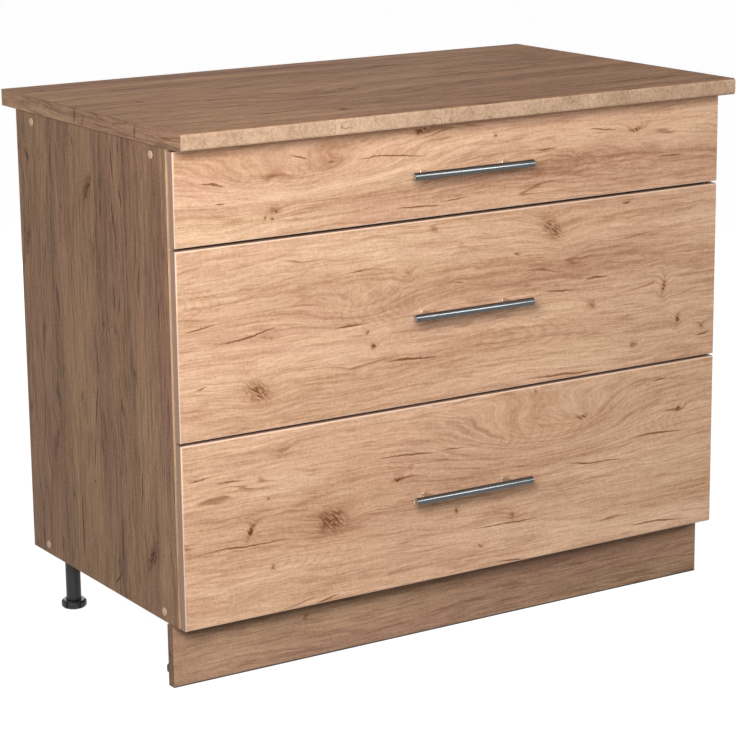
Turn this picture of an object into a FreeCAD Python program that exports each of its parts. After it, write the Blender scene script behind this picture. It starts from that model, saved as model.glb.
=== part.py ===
import FreeCAD, Part
import math
import os

Vector = FreeCAD.Vector

# A kitchen base cabinet with three drawers, in millimetres. +Z is up, +X runs
# to the right along the front, and +Y runs from the front to the back.
# While the pieces are made, y = 0 is the outer face of the drawer fronts.
# save() then moves each piece so that the origin lies on the floor, in the
# middle of the whole cabinet's length and depth.

# Carcass
cabinet_width = 1000.0  # over the outer faces of the side panels
side_depth = 500.0
leg_height = 100.0  # from the floor to the lower ends of the side panels
board = 16.0  # thickness of the carcass and drawer box boards
end_set_in = 7.0  # bottom panel and top rails, in from the side panels' ends
rail_width = 90.0
back_board = 3.0
back_inset = 7.0  # free space behind the back board, inside the side panels
back_groove_depth = 7.0
back_board_end_gap = 3.0  # back board short of the side panels' ends

# Worktop
worktop_depth = 600.0
worktop_thickness = 26.0
worktop_front_overhang = 35.0  # beyond the faces of the drawer fronts
worktop_end_overhang = 2.5
worktop_edge_radius = 5.0

# Drawer fronts
front_board = 16.0
front_edge_radius = 3.0
front_inset = 2.0  # each side, in from the side panels' outer faces
front_gap = 4.0  # between the fronts, and under the worktop
top_front_height = 140.0
deep_front_height = 284.0
pad_thickness = 2.0  # bumper pads hold the fronts this far off the carcass
pad_diameter = 8.0
pad_end_distance = 30.0  # from a front's upper and lower edge

# Handles
handle_length = 220.0
handle_diameter = 12.0
handle_projection = 35.0  # from the front's face to the far side of the bar
handle_end_bevel = 0.8
post_spacing = 150.0
post_diameter = 9.0

# Drawer boxes
box_clearance = 7.0  # over the bottom panel, and under the top rails
box_back_room = 38.0  # from the slides and boxes to the back board
deep_box_headroom = 54.0  # from a deep front's upper edge to its box
bottom_board = 4.0
bottom_rise = 10.0  # from the box's lower edge to the bottom's groove
bottom_groove_depth = 8.0
groove_clearance = 0.2  # above a board that lies in a groove
groove_end_clearance = 0.5  # at the edges of a board that lies in a groove

# Drawer slides, three telescoping members on each side of each drawer
slide_setback = 2.0  # behind the side panels' front edges
slide_width = 13.0  # between the side panel and the drawer box
slide_height = 45.0
slide_gauge = 1.2
slide_rise = 37.0  # slide's middle above the box's lower edge
outer_race = 3.7  # ball race between the cabinet and middle members
inner_race = 2.8  # ball race between the middle and drawer members
web_room = 2.0  # room for screw heads between two webs
member_clearance = 0.4
ball_clearance = 0.3
outer_flange_gap = 2.0  # cabinet member's flanges to the drawer box
outer_lip = 2.4
middle_lip = 2.0
drawer_lip = 1.5
cage_length = 200.0
cage_end_distance = 10.0
slide_screw_end = 35.0

# Legs
tube_diameter = 25.0
foot_diameter = 41.0
foot_height = 13.0
foot_bevel = 3.0
foot_notches = 6
foot_notch_width = 4.0
foot_notch_depth = 3.0
spindle_diameter = 16.0
spindle_length = 50.0
spindle_clearance = 0.3
spindle_end_room = 5.0
leg_plate_size = 52.0
leg_plate_thickness = 4.0
leg_plate_corner = 5.0
leg_plate_edge_gap = 1.0  # from the side panel's inner face
socket_wall = 4.0
socket_height = 18.0
leg_screw_spacing = 38.0
leg_back_distance = 50.0  # leg's axis, in from the side panels' back edges
leg_plinth_distance = 44.0  # leg's axis behind the plinth

# Plinth
plinth_board = 16.0
plinth_setback = 40.0  # behind the faces of the drawer fronts
plinth_top_gap = 2.0
plinth_floor_gap = 0.5
seal_height = 2.0
clip_height = 20.0
clip_centre_height = 52.0
clip_wall = 3.0
clip_base_thickness = 2.5
clip_base_width = 60.0
clip_tube_clearance = 0.3
clip_reach = 5.0  # arms past the leg's axis
clip_screw_spacing = 48.0

# Worktop brackets
bracket_leg = 25.0
bracket_width = 34.0
bracket_gauge = 2.0
bracket_screw_spacing = 18.0
bracket_inset = 90.0  # from a rail's edge to a bracket's middle

# Fasteners
confirmat_length = 50.0
confirmat_diameter = 5.0
confirmat_neck_diameter = 7.0
confirmat_head_diameter = 10.0
confirmat_head_height = 2.5
confirmat_socket = 4.0
confirmat_socket_depth = 2.2
cap_diameter = 13.0
cap_rise = 2.2
cap_peg_diameter = 3.6
cap_peg_length = 2.0
small_screw_diameter = 3.5
small_screw_head = 6.8
small_screw_head_height = 1.6
small_screw_in_board = 13.0
front_screw_diameter = 4.0
front_screw_head = 8.0
front_screw_head_height = 2.4
front_screw_length = 28.0
front_screw_edge = 20.0  # from the inner front's upper and lower edges
front_screw_end = 60.0  # from the inner front's ends
front_screw_middle = 150.0  # inner columns, from the drawer's middle
handle_screw_diameter = 4.0
handle_screw_head = 8.0
handle_screw_head_height = 2.6
handle_screw_in_post = 12.0
recess_width = 1.0
screw_crown = 0.72  # crown of a pan head over its full diameter
screw_tip = 0.25  # blunt end of a screw's point over its shank
corner_screw_low = 19.0  # from the box's lower edge
corner_screw_high = 18.0  # from the box's upper edge
three_screw_height = 150.0  # boxes higher than this have a third corner screw
nail_diameter = 1.5
nail_length = 18.0
nail_head_diameter = 3.6
nail_head_height = 0.6
nail_pitch = 150.0
hole_clearance = 0.1
cut_margin = 1.0  # how far a cutting shape reaches past the piece it cuts
same_place = 0.01  # how far apart two points or lengths may lie and still count as one

# Places that follow from the sizes
half_width = cabinet_width / 2
inner_half = half_width - board
side_bottom = leg_height
bottom_front_z = side_bottom
middle_front_z = bottom_front_z + deep_front_height + front_gap
top_front_z = middle_front_z + deep_front_height + front_gap
side_top = top_front_z + top_front_height + front_gap
side_front_y = front_board + pad_thickness
side_back_y = side_front_y + side_depth
back_board_y = side_back_y - back_inset - back_board
bottom_panel_z = side_bottom + end_set_in
rail_z = side_top - end_set_in - board
front_rail_y = side_front_y
back_rail_y = back_board_y - rail_width
joint_screw_y = (front_rail_y + rail_width / 2, back_rail_y + rail_width / 2)
worktop_front_y = -worktop_front_overhang
worktop_back_y = worktop_front_y + worktop_depth
worktop_half = half_width + worktop_end_overhang
bar_y = -(handle_projection - handle_diameter / 2)
box_half = inner_half - slide_width
box_inner_half = box_half - board
slide_front_y = side_front_y + slide_setback
slide_back_y = back_board_y - box_back_room
slide_length = slide_back_y - slide_front_y
box_front_y = front_board
box_back_y = slide_back_y
plinth_back_y = plinth_setback + plinth_board
leg_x = inner_half - leg_plate_edge_gap - leg_plate_size / 2
leg_front_y = plinth_back_y + leg_plinth_distance
leg_back_y = side_back_y - leg_back_distance
leg_plate_z = bottom_panel_z - leg_plate_thickness
front_reach = max(worktop_front_overhang, handle_projection)
origin_y = (worktop_back_y - front_reach) / 2
total_height = side_top + worktop_thickness


class Drawer:
    """The heights of one drawer: its front, its box, its slides and its handle."""

    def __init__(self, name, front_bottom, front_height, box_top):
        self.name = name
        self.front_bottom = front_bottom
        self.front_top = front_bottom + front_height
        self.handle_z = front_bottom + front_height / 2
        self.box_bottom = front_bottom + end_set_in + board + box_clearance
        self.box_top = box_top
        self.slide_z = self.box_bottom + slide_rise
        self.bottom_z = self.box_bottom + bottom_rise


def make_drawers():
    deep_box_top = deep_front_height - deep_box_headroom
    return (
        Drawer("top", top_front_z, top_front_height, rail_z - box_clearance),
        Drawer("middle", middle_front_z, deep_front_height, middle_front_z + deep_box_top),
        Drawer("bottom", bottom_front_z, deep_front_height, bottom_front_z + deep_box_top),
    )


drawers = make_drawers()


# Shapes that every piece is made from

def block(x0, x1, y0, y1, z0, z1):
    return Part.makeBox(x1 - x0, y1 - y0, z1 - z0, Vector(x0, y0, z0))


def rod(diameter, length, start, direction):
    return Part.makeCylinder(diameter / 2, length, start, direction)


def mirrored(shape):
    """The same piece on the other side of the cabinet."""
    return shape.mirror(Vector(0, 0, 0), Vector(1, 0, 0))


def moved(shape, x, y, z):
    copy = shape.copy()
    copy.translate(Vector(x, y, z))
    return copy


def aimed(shape, at, direction):
    """A copy of a piece made along +Z from the origin, turned and put in place."""
    copy = shape.copy()
    copy.Placement = FreeCAD.Placement(at, FreeCAD.Rotation(Vector(0, 0, 1), direction))
    return copy


def with_holes(shape, cutters):
    return shape.cut(Part.makeCompound(cutters))


def edges_at(shape, test):
    """The edges whose two ends both pass the test."""
    return [edge for edge in shape.Edges if all(test(vertex.Point) for vertex in edge.Vertexes)]


def save(name, solids):
    """Writes one node, moved to the cabinet's own frame."""
    shape = solids[0] if len(solids) == 1 else Part.makeCompound(solids)
    moved(shape, 0, -origin_y, 0).exportStep("parts/" + name + ".step")


# Fasteners. Each is made once, along +Z, with its seat at z = 0 and its head below.

def cross_recess(head, depth):
    """A crossed slot, cut into the outer face of a screw's head."""
    arm = head / 2
    half = recess_width / 2
    first = block(-arm / 2, arm / 2, -half, half, -depth, 0)
    second = block(-half, half, -arm / 2, arm / 2, -depth, 0)
    return first.fuse(second)


def pan_screw(diameter, length, head, head_height):
    point = diameter
    shank = rod(diameter, length - point, Vector(0, 0, 0), Vector(0, 0, 1))
    blunt = diameter / 2 * screw_tip
    tip = Part.makeCone(diameter / 2, blunt, point, Vector(0, 0, length - point))
    crown = head / 2 * screw_crown
    cap = Part.makeCone(crown, head / 2, head_height, Vector(0, 0, -head_height))
    recess = moved(cross_recess(head, head_height), 0, 0, -head_height / 2)
    return cap.cut(recess).fuse(shank).fuse(tip).removeSplitter()


def screw_hole(diameter, length):
    return rod(diameter + 2 * hole_clearance, length + hole_clearance, Vector(0, 0, 0), Vector(0, 0, 1))


def confirmat_screw():
    """A one-piece connector with a countersunk head that ends flush, at z = 0."""
    up = Vector(0, 0, 1)
    head = Part.makeCone(confirmat_head_diameter / 2, confirmat_neck_diameter / 2, confirmat_head_height)
    neck = rod(confirmat_neck_diameter, board, Vector(0, 0, 0), up)
    thread = rod(confirmat_diameter, confirmat_length, Vector(0, 0, 0), up)
    corner_radius = confirmat_socket / 2 / math.cos(math.pi / 6)
    corners = [
        Vector(corner_radius * math.cos(turn * math.pi / 3), corner_radius * math.sin(turn * math.pi / 3), 0)
        for turn in range(7)
    ]
    socket = Part.Face(Part.makePolygon(corners)).extrude(Vector(0, 0, confirmat_socket_depth))
    return head.fuse(neck).fuse(thread).removeSplitter().cut(socket)


def confirmat_hole():
    up = Vector(0, 0, 1)
    wider = hole_clearance
    head = Part.makeCone(
        confirmat_head_diameter / 2 + wider, confirmat_neck_diameter / 2 + wider, confirmat_head_height)
    neck = rod(confirmat_neck_diameter + 2 * wider, board + wider, Vector(0, 0, 0), up)
    thread = rod(confirmat_diameter + 2 * wider, confirmat_length + wider, Vector(0, 0, 0), up)
    return head.fuse(neck).fuse(thread)


def screw_cap():
    """A domed cap on the panel's face, with a peg in the connector's socket."""
    radius = cap_diameter / 2
    sphere_radius = (radius ** 2 + cap_rise ** 2) / (2 * cap_rise)
    sphere = Part.makeSphere(sphere_radius, Vector(0, 0, sphere_radius - cap_rise))
    dome = sphere.common(rod(cap_diameter * 2, cap_rise, Vector(0, 0, -cap_rise), Vector(0, 0, 1)))
    peg = rod(cap_peg_diameter, cap_peg_length, Vector(0, 0, 0), Vector(0, 0, 1))
    return dome.fuse(peg).removeSplitter()


def nail():
    shank = rod(nail_diameter, nail_length, Vector(0, 0, 0), Vector(0, 0, 1))
    head = rod(nail_head_diameter, nail_head_height, Vector(0, 0, -nail_head_height), Vector(0, 0, 1))
    return shank.fuse(head).removeSplitter()


def carcass_joint_places():
    """Where the connectors go in: the outer face of each side panel, and the way inwards."""
    heights = (bottom_panel_z + board / 2, rail_z + board / 2)
    return [
        (Vector(hand * half_width, y, z), Vector(-hand, 0, 0))
        for hand in (-1, 1) for z in heights for y in joint_screw_y
    ]


def slide_screw_offsets():
    """Along a slide, from its front end."""
    return (slide_screw_end, slide_length / 2, slide_length - slide_screw_end)


def cabinet_slide_screw_places():
    seat = inner_half - slide_gauge
    return [
        (Vector(hand * seat, slide_front_y + offset, drawer.slide_z), Vector(hand, 0, 0))
        for drawer in drawers for hand in (-1, 1) for offset in slide_screw_offsets()
    ]


def drawer_slide_screw_places(drawer):
    seat = box_half + slide_gauge
    return [
        (Vector(hand * seat, slide_front_y + offset, drawer.slide_z), Vector(-hand, 0, 0))
        for hand in (-1, 1) for offset in slide_screw_offsets()
    ]


def bracket_middles():
    """The middles of the brackets along the depth, inside the two top rails."""
    front = front_rail_y + rail_width + bracket_inset
    back = back_rail_y - bracket_inset
    return (front, back)


def bracket_screw_places():
    places = []
    reach = (bracket_leg + bracket_gauge) / 2
    for hand in (-1, 1):
        for middle in bracket_middles():
            for shift in (-bracket_screw_spacing / 2, bracket_screw_spacing / 2):
                side_seat = Vector(hand * (inner_half - bracket_gauge), middle + shift, side_top - reach)
                top_seat = Vector(hand * (inner_half - reach), middle + shift, side_top - bracket_gauge)
                places.append((side_seat, Vector(hand, 0, 0)))
                places.append((top_seat, Vector(0, 0, 1)))
    return places


def leg_axes():
    return [Vector(hand * leg_x, y, 0) for hand in (-1, 1) for y in (leg_front_y, leg_back_y)]


def leg_screw_places():
    half = leg_screw_spacing / 2
    return [
        (Vector(axis.x + dx, axis.y + dy, leg_plate_z), Vector(0, 0, 1))
        for axis in leg_axes() for dx in (-half, half) for dy in (-half, half)
    ]


def nail_places():
    """Along the back board, into the bottom panel and the back rail."""
    count = int(inner_half / nail_pitch)
    return [
        (Vector(step * nail_pitch, back_board_y + back_board, z + board / 2), Vector(0, -1, 0))
        for z in (bottom_panel_z, rail_z) for step in range(-count, count + 1)
    ]


def put_all(piece, places):
    return [aimed(piece, at, direction) for at, direction in places]


def small_screw(grip):
    """A small screw through a fitting of the given thickness, into a board."""
    length = grip + small_screw_in_board
    return pan_screw(small_screw_diameter, length, small_screw_head, small_screw_head_height)


def small_hole(grip):
    return screw_hole(small_screw_diameter, grip + small_screw_in_board)


# Carcass

def side_panel(hand):
    low, high = sorted((hand * inner_half, hand * half_width))
    panel = block(low, high, side_front_y, side_back_y, side_bottom, side_top)
    groove = block(
        -inner_half - back_groove_depth, inner_half + back_groove_depth,
        back_board_y, back_board_y + back_board + groove_clearance, side_bottom, side_top)
    holes = put_all(confirmat_hole(), carcass_joint_places())
    holes += put_all(small_hole(slide_gauge), cabinet_slide_screw_places())
    holes += put_all(small_hole(bracket_gauge), bracket_screw_places())
    return with_holes(panel, [groove] + holes)


def carcass_board(y0, y1, z0):
    """A board that lies between the side panels."""
    panel = block(-inner_half, inner_half, y0, y1, z0, z0 + board)
    holes = put_all(confirmat_hole(), carcass_joint_places())
    holes += put_all(screw_hole(nail_diameter, nail_length), nail_places())
    holes += put_all(small_hole(leg_plate_thickness), leg_screw_places())
    return with_holes(panel, holes)


def back_panel():
    half = inner_half + back_groove_depth - groove_end_clearance
    low = side_bottom + back_board_end_gap
    high = side_top - back_board_end_gap
    panel = block(-half, half, back_board_y, back_board_y + back_board, low, high)
    return with_holes(panel, put_all(screw_hole(nail_diameter, nail_length), nail_places()))


def worktop():
    slab = block(
        -worktop_half, worktop_half, worktop_front_y, worktop_back_y, side_top, total_height)
    front_edges = edges_at(slab, lambda p: abs(p.y - worktop_front_y) < same_place)
    long_edges = [edge for edge in front_edges if edge.Length > worktop_half]
    slab = slab.makeFillet(worktop_edge_radius, long_edges)
    return with_holes(slab, put_all(small_hole(bracket_gauge), bracket_screw_places()))


def worktop_bracket(middle):
    """An angle in the corner of the right side panel and the worktop."""
    y0 = middle - bracket_width / 2
    y1 = middle + bracket_width / 2
    upright = block(inner_half - bracket_gauge, inner_half, y0, y1, side_top - bracket_leg, side_top)
    shelf = block(inner_half - bracket_leg, inner_half, y0, y1, side_top - bracket_gauge, side_top)
    angle = upright.fuse(shelf).removeSplitter()
    return with_holes(angle, put_all(small_hole(bracket_gauge), bracket_screw_places()))


def bumper_pads():
    """Discs on the side panels' front edges, four behind each drawer front."""
    pads = []
    for drawer in drawers:
        for z in (drawer.front_bottom + pad_end_distance, drawer.front_top - pad_end_distance):
            for hand in (-1, 1):
                at = Vector(hand * (half_width - board / 2), side_front_y, z)
                pads.append(rod(pad_diameter, pad_thickness, at, Vector(0, -1, 0)))
    return pads


# Legs

def leg_plate(axis):
    half = leg_plate_size / 2
    plate = block(
        axis.x - half, axis.x + half, axis.y - half, axis.y + half,
        leg_plate_z, leg_plate_z + leg_plate_thickness)
    upright = [edge for edge in plate.Edges if abs(edge.Length - leg_plate_thickness) < same_place]
    plate = plate.makeFillet(leg_plate_corner, upright)
    foot_of_socket = Vector(axis.x, axis.y, leg_plate_z - socket_height)
    up = Vector(0, 0, 1)
    ring = rod(tube_diameter + 2 * socket_wall, socket_height, foot_of_socket, up)
    bore = rod(tube_diameter + 2 * hole_clearance, socket_height, foot_of_socket, up)
    plate = plate.fuse(ring).removeSplitter().cut(bore)
    return with_holes(plate, put_all(small_hole(leg_plate_thickness), leg_screw_places()))


def leg_tube(axis):
    """The fixed tube, from the plate down to the foot's rim, bored for the spindle."""
    base = Vector(axis.x, axis.y, foot_height)
    up = Vector(0, 0, 1)
    tube = rod(tube_diameter, leg_plate_z - foot_height, base, up)
    bore = rod(spindle_diameter + 2 * spindle_clearance, spindle_length + spindle_end_room, base, up)
    return tube.cut(bore)


def foot(axis):
    """A notched rim that is turned by hand, with a spindle up inside the tube."""
    radius = foot_diameter / 2
    outline = [
        Vector(0, 0, 0),
        Vector(radius - foot_bevel, 0, 0),
        Vector(radius, 0, foot_bevel),
        Vector(radius, 0, foot_height - foot_bevel),
        Vector(radius - foot_bevel, 0, foot_height),
        Vector(0, 0, foot_height),
        Vector(0, 0, 0),
    ]
    rim = Part.Face(Part.makePolygon(outline)).revolve(Vector(0, 0, 0), Vector(0, 0, 1), 360)
    notch = block(
        radius - foot_notch_depth, radius + cut_margin,
        -foot_notch_width / 2, foot_notch_width / 2, -cut_margin, foot_height + cut_margin)
    notches = []
    for step in range(foot_notches):
        turned = notch.copy()
        turned.rotate(Vector(0, 0, 0), Vector(0, 0, 1), 360 / foot_notches * (step + 0.5))
        notches.append(turned)
    spindle = rod(spindle_diameter, spindle_length, Vector(0, 0, foot_height), Vector(0, 0, 1))
    solid = with_holes(rim, notches).fuse(spindle).removeSplitter()
    return moved(solid, axis.x, axis.y, 0)


# Plinth

def plinth_panel():
    low = plinth_floor_gap + seal_height
    high = side_bottom - plinth_top_gap
    panel = block(-half_width, half_width, plinth_setback, plinth_back_y, low, high)
    return with_holes(panel, put_all(small_hole(clip_base_thickness), clip_screw_places()))


def plinth_seal():
    """A strip under the plinth's lower edge, along its whole length."""
    return block(
        -half_width, half_width, plinth_setback, plinth_back_y,
        plinth_floor_gap, plinth_floor_gap + seal_height)


def clip_screw_places():
    half = clip_screw_spacing / 2
    return [
        (Vector(hand * leg_x + shift, plinth_back_y + clip_base_thickness, clip_centre_height),
         Vector(0, -1, 0))
        for hand in (-1, 1) for shift in (-half, half)
    ]


def plinth_clip(x):
    """A clip behind the plinth, open to the back, that holds a front leg's tube."""
    z0 = clip_centre_height - clip_height / 2
    z1 = clip_centre_height + clip_height / 2
    gap = tube_diameter + 2 * clip_tube_clearance
    outer = gap / 2 + clip_wall
    base = block(
        x - clip_base_width / 2, x + clip_base_width / 2,
        plinth_back_y, plinth_back_y + clip_base_thickness, z0, z1)
    jaw = block(x - outer, x + outer, plinth_back_y, leg_front_y + clip_reach, z0, z1)
    seat = rod(gap, clip_height, Vector(x, leg_front_y, z0), Vector(0, 0, 1))
    mouth = block(x - gap / 2, x + gap / 2, leg_front_y, leg_front_y + clip_reach, z0, z1)
    clip = base.fuse(jaw).removeSplitter().cut(seat).cut(mouth)
    return with_holes(clip, put_all(small_hole(clip_base_thickness), clip_screw_places()))


# Drawer slides. Distances across a slide count from the side panel's inner
# face, and each piece is made on the left and mirrored to the right.

def channel(web, open_end, half_height, lip):
    """A channel with its web at one side and lips at its open side, along the slide."""
    inward = slide_gauge if open_end > web else -slide_gauge
    inner = half_height - slide_gauge
    upper = [
        (web + inward, inner), (open_end - inward, inner), (open_end - inward, inner - lip),
        (open_end, inner - lip), (open_end, half_height), (web, half_height),
    ]
    lower = [(x, -z) for x, z in reversed(upper)]
    corners = [Vector(x - inner_half, 0, z) for x, z in upper + lower]
    face = Part.Face(Part.makePolygon(corners + corners[:1]))
    return face.extrude(Vector(0, slide_length, 0))


outer_half = slide_height / 2
middle_half = outer_half - slide_gauge - outer_race
drawer_half = middle_half - slide_gauge - inner_race
middle_web = slide_gauge + web_room
middle_end = slide_width - slide_gauge - member_clearance


def both_hands(left_piece, z):
    """The left and right copies of a slide's piece, at the given height."""
    left = moved(left_piece, 0, slide_front_y, z)
    return [left, mirrored(left)]


def cabinet_members():
    left = channel(0, slide_width - outer_flange_gap, outer_half, outer_lip)
    holes = put_all(small_hole(slide_gauge), cabinet_slide_screw_places())
    members = []
    for drawer in drawers:
        members += [with_holes(member, holes) for member in both_hands(left, drawer.slide_z)]
    return members


def middle_members(drawer):
    return both_hands(channel(middle_web, middle_end, middle_half, middle_lip), drawer.slide_z)


def drawer_members(drawer):
    open_end = middle_web + slide_gauge + member_clearance
    left = channel(slide_width, open_end, drawer_half, drawer_lip)
    holes = put_all(small_hole(slide_gauge), drawer_slide_screw_places(drawer))
    return [with_holes(member, holes) for member in both_hands(left, drawer.slide_z)]


def ball_cages(drawer):
    """Strips that fill the races: the outer pair at the back, the inner pair at the front."""
    outer_low = middle_half + ball_clearance
    outer_high = outer_half - slide_gauge - ball_clearance
    inner_low = drawer_half + ball_clearance
    inner_high = middle_half - slide_gauge - ball_clearance
    outer_x0 = middle_web + member_clearance
    outer_x1 = slide_width - outer_flange_gap - slide_gauge - member_clearance
    inner_x0 = middle_web + slide_gauge + member_clearance
    inner_x1 = middle_end - slide_gauge - member_clearance
    rear = slide_length - cage_end_distance - cage_length
    cages = []
    for sign in (-1, 1):
        for x0, x1, y0, low, high in (
                (outer_x0, outer_x1, rear, outer_low, outer_high),
                (inner_x0, inner_x1, cage_end_distance, inner_low, inner_high)):
            z0, z1 = sorted((sign * low, sign * high))
            strip = block(x0 - inner_half, x1 - inner_half, y0, y0 + cage_length, z0, z1)
            cages += both_hands(strip, drawer.slide_z)
    return cages


# Drawers

def corner_screw_heights(drawer):
    heights = [drawer.box_bottom + corner_screw_low, drawer.box_top - corner_screw_high]
    if drawer.box_top - drawer.box_bottom > three_screw_height:
        heights.append(sum(heights) / 2)
    return heights


def corner_screw_places(drawer):
    return [
        (Vector(hand * box_half, y, z), Vector(-hand, 0, 0))
        for hand in (-1, 1)
        for y in (box_front_y + board / 2, box_back_y - board / 2)
        for z in corner_screw_heights(drawer)
    ]


def front_screw_places(drawer):
    outer = box_inner_half - front_screw_end
    rows = (drawer.box_bottom + front_screw_edge, drawer.box_top - front_screw_edge)
    return [
        (Vector(x, box_front_y + board, z), Vector(0, -1, 0))
        for x in (-outer, -front_screw_middle, front_screw_middle, outer) for z in rows
    ]


def handle_screw_places(drawer):
    return [
        (Vector(hand * post_spacing / 2, box_front_y + board, drawer.handle_z), Vector(0, -1, 0))
        for hand in (-1, 1)
    ]


handle_screw_length = board + front_board + handle_screw_in_post


def drawer_holes(drawer):
    holes = put_all(confirmat_hole(), corner_screw_places(drawer))
    holes += put_all(screw_hole(front_screw_diameter, front_screw_length), front_screw_places(drawer))
    holes += put_all(screw_hole(handle_screw_diameter, handle_screw_length), handle_screw_places(drawer))
    holes += put_all(small_hole(slide_gauge), drawer_slide_screw_places(drawer))
    return holes


def bottom_groove(drawer):
    """The groove round the inside of the box that the drawer's bottom lies in."""
    half = box_inner_half + bottom_groove_depth
    return block(
        -half, half,
        box_front_y + board - bottom_groove_depth, box_back_y - board + bottom_groove_depth,
        drawer.bottom_z, drawer.bottom_z + bottom_board + groove_clearance)


def drawer_front(drawer):
    half = half_width - front_inset
    panel = block(-half, half, 0, front_board, drawer.front_bottom, drawer.front_top)
    panel = panel.makeFillet(front_edge_radius, edges_at(panel, lambda p: abs(p.y) < same_place))
    return with_holes(panel, drawer_holes(drawer))


def box_side(drawer, hand):
    low, high = sorted((hand * box_inner_half, hand * box_half))
    panel = block(low, high, box_front_y, box_back_y, drawer.box_bottom, drawer.box_top)
    return with_holes(panel, [bottom_groove(drawer)] + drawer_holes(drawer))


def box_end(drawer, y0):
    """The inner front or the back, between the box's sides."""
    panel = block(
        -box_inner_half, box_inner_half, y0, y0 + board, drawer.box_bottom, drawer.box_top)
    return with_holes(panel, [bottom_groove(drawer)] + drawer_holes(drawer))


def drawer_bottom(drawer):
    half = box_inner_half + bottom_groove_depth - groove_end_clearance
    y0 = box_front_y + board - bottom_groove_depth + groove_end_clearance
    y1 = box_back_y - board + bottom_groove_depth - groove_end_clearance
    return block(-half, half, y0, y1, drawer.bottom_z, drawer.bottom_z + bottom_board)


def plain_bar(drawer):
    start = Vector(-handle_length / 2, bar_y, drawer.handle_z)
    return rod(handle_diameter, handle_length, start, Vector(1, 0, 0))


def handle_bar(drawer):
    bar = plain_bar(drawer)
    rims = [edge for edge in bar.Edges if isinstance(edge.Curve, Part.Circle)]
    return bar.makeChamfer(handle_end_bevel, rims)


def handle_posts(drawer):
    """Two posts from the front's face to the bar, each tapped for its screw."""
    holes = put_all(screw_hole(handle_screw_diameter, handle_screw_length), handle_screw_places(drawer))
    posts = []
    for hand in (-1, 1):
        at = Vector(hand * post_spacing / 2, 0, drawer.handle_z)
        post = rod(post_diameter, -bar_y, at, Vector(0, -1, 0))
        posts.append(with_holes(post, [plain_bar(drawer)] + holes))
    return posts


def drawer_screws(drawer):
    front_screw = pan_screw(
        front_screw_diameter, front_screw_length, front_screw_head, front_screw_head_height)
    handle_screw = pan_screw(
        handle_screw_diameter, handle_screw_length, handle_screw_head, handle_screw_head_height)
    screws = put_all(confirmat_screw(), corner_screw_places(drawer))
    screws += put_all(front_screw, front_screw_places(drawer))
    screws += put_all(handle_screw, handle_screw_places(drawer))
    screws += put_all(small_screw(slide_gauge), drawer_slide_screw_places(drawer))
    return screws


# Everything, node by node

def save_carcass():
    save("side_left", [side_panel(-1)])
    save("side_right", [side_panel(1)])
    save("bottom_panel", [carcass_board(side_front_y, back_board_y, bottom_panel_z)])
    save("top_rail_front", [carcass_board(front_rail_y, front_rail_y + rail_width, rail_z)])
    save("top_rail_back", [carcass_board(back_rail_y, back_board_y, rail_z)])
    save("back_panel", [back_panel()])
    save("back_panel_nails", put_all(nail(), nail_places()))
    save("worktop", [worktop()])
    right_brackets = [worktop_bracket(middle) for middle in bracket_middles()]
    save("worktop_brackets", right_brackets + [mirrored(bracket) for bracket in right_brackets])
    save("bumper_pads", bumper_pads())
    save("confirmat_screws", put_all(confirmat_screw(), carcass_joint_places()))
    save("screw_caps", put_all(screw_cap(), carcass_joint_places()))
    screws = put_all(small_screw(slide_gauge), cabinet_slide_screw_places())
    screws += put_all(small_screw(bracket_gauge), bracket_screw_places())
    screws += put_all(small_screw(leg_plate_thickness), leg_screw_places())
    save("small_screws", screws)
    save("slide_cabinet_members", cabinet_members())


def save_legs():
    save("leg_plates", [leg_plate(axis) for axis in leg_axes()])
    save("leg_tubes", [leg_tube(axis) for axis in leg_axes()])
    for hand, side in ((-1, "left"), (1, "right")):
        for y, end in ((leg_front_y, "front"), (leg_back_y, "back")):
            save("foot_" + end + "_" + side, [foot(Vector(hand * leg_x, y, 0))])


def save_plinth():
    save("plinth_board", [plinth_panel()])
    save("plinth_seal", [plinth_seal()])
    clips = [plinth_clip(hand * leg_x) for hand in (-1, 1)]
    clip_screws = put_all(small_screw(clip_base_thickness), clip_screw_places())
    save("plinth_clips", clips + clip_screws)


def save_drawer(drawer):
    name = drawer.name
    save(name + "_drawer_front", [drawer_front(drawer)])
    save(name + "_drawer_side_left", [box_side(drawer, -1)])
    save(name + "_drawer_side_right", [box_side(drawer, 1)])
    save(name + "_drawer_inner_front", [box_end(drawer, box_front_y)])
    save(name + "_drawer_back", [box_end(drawer, box_back_y - board)])
    save(name + "_drawer_bottom", [drawer_bottom(drawer)])
    save(name + "_drawer_screws", drawer_screws(drawer))
    save(name + "_handle_bar", [handle_bar(drawer)])
    save(name + "_handle_posts", handle_posts(drawer))
    save(name + "_slide_drawer_members", drawer_members(drawer))
    save(name + "_slide_middle_members", middle_members(drawer))
    save(name + "_slide_ball_cages", ball_cages(drawer))


def main():
    os.makedirs("parts", exist_ok=True)
    save_carcass()
    save_legs()
    save_plinth()
    for drawer in drawers:
        save_drawer(drawer)


if __name__ == "__main__":
    main()
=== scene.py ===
import math

import bmesh
import bpy
import numpy
from mathutils import Matrix, Vector


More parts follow.
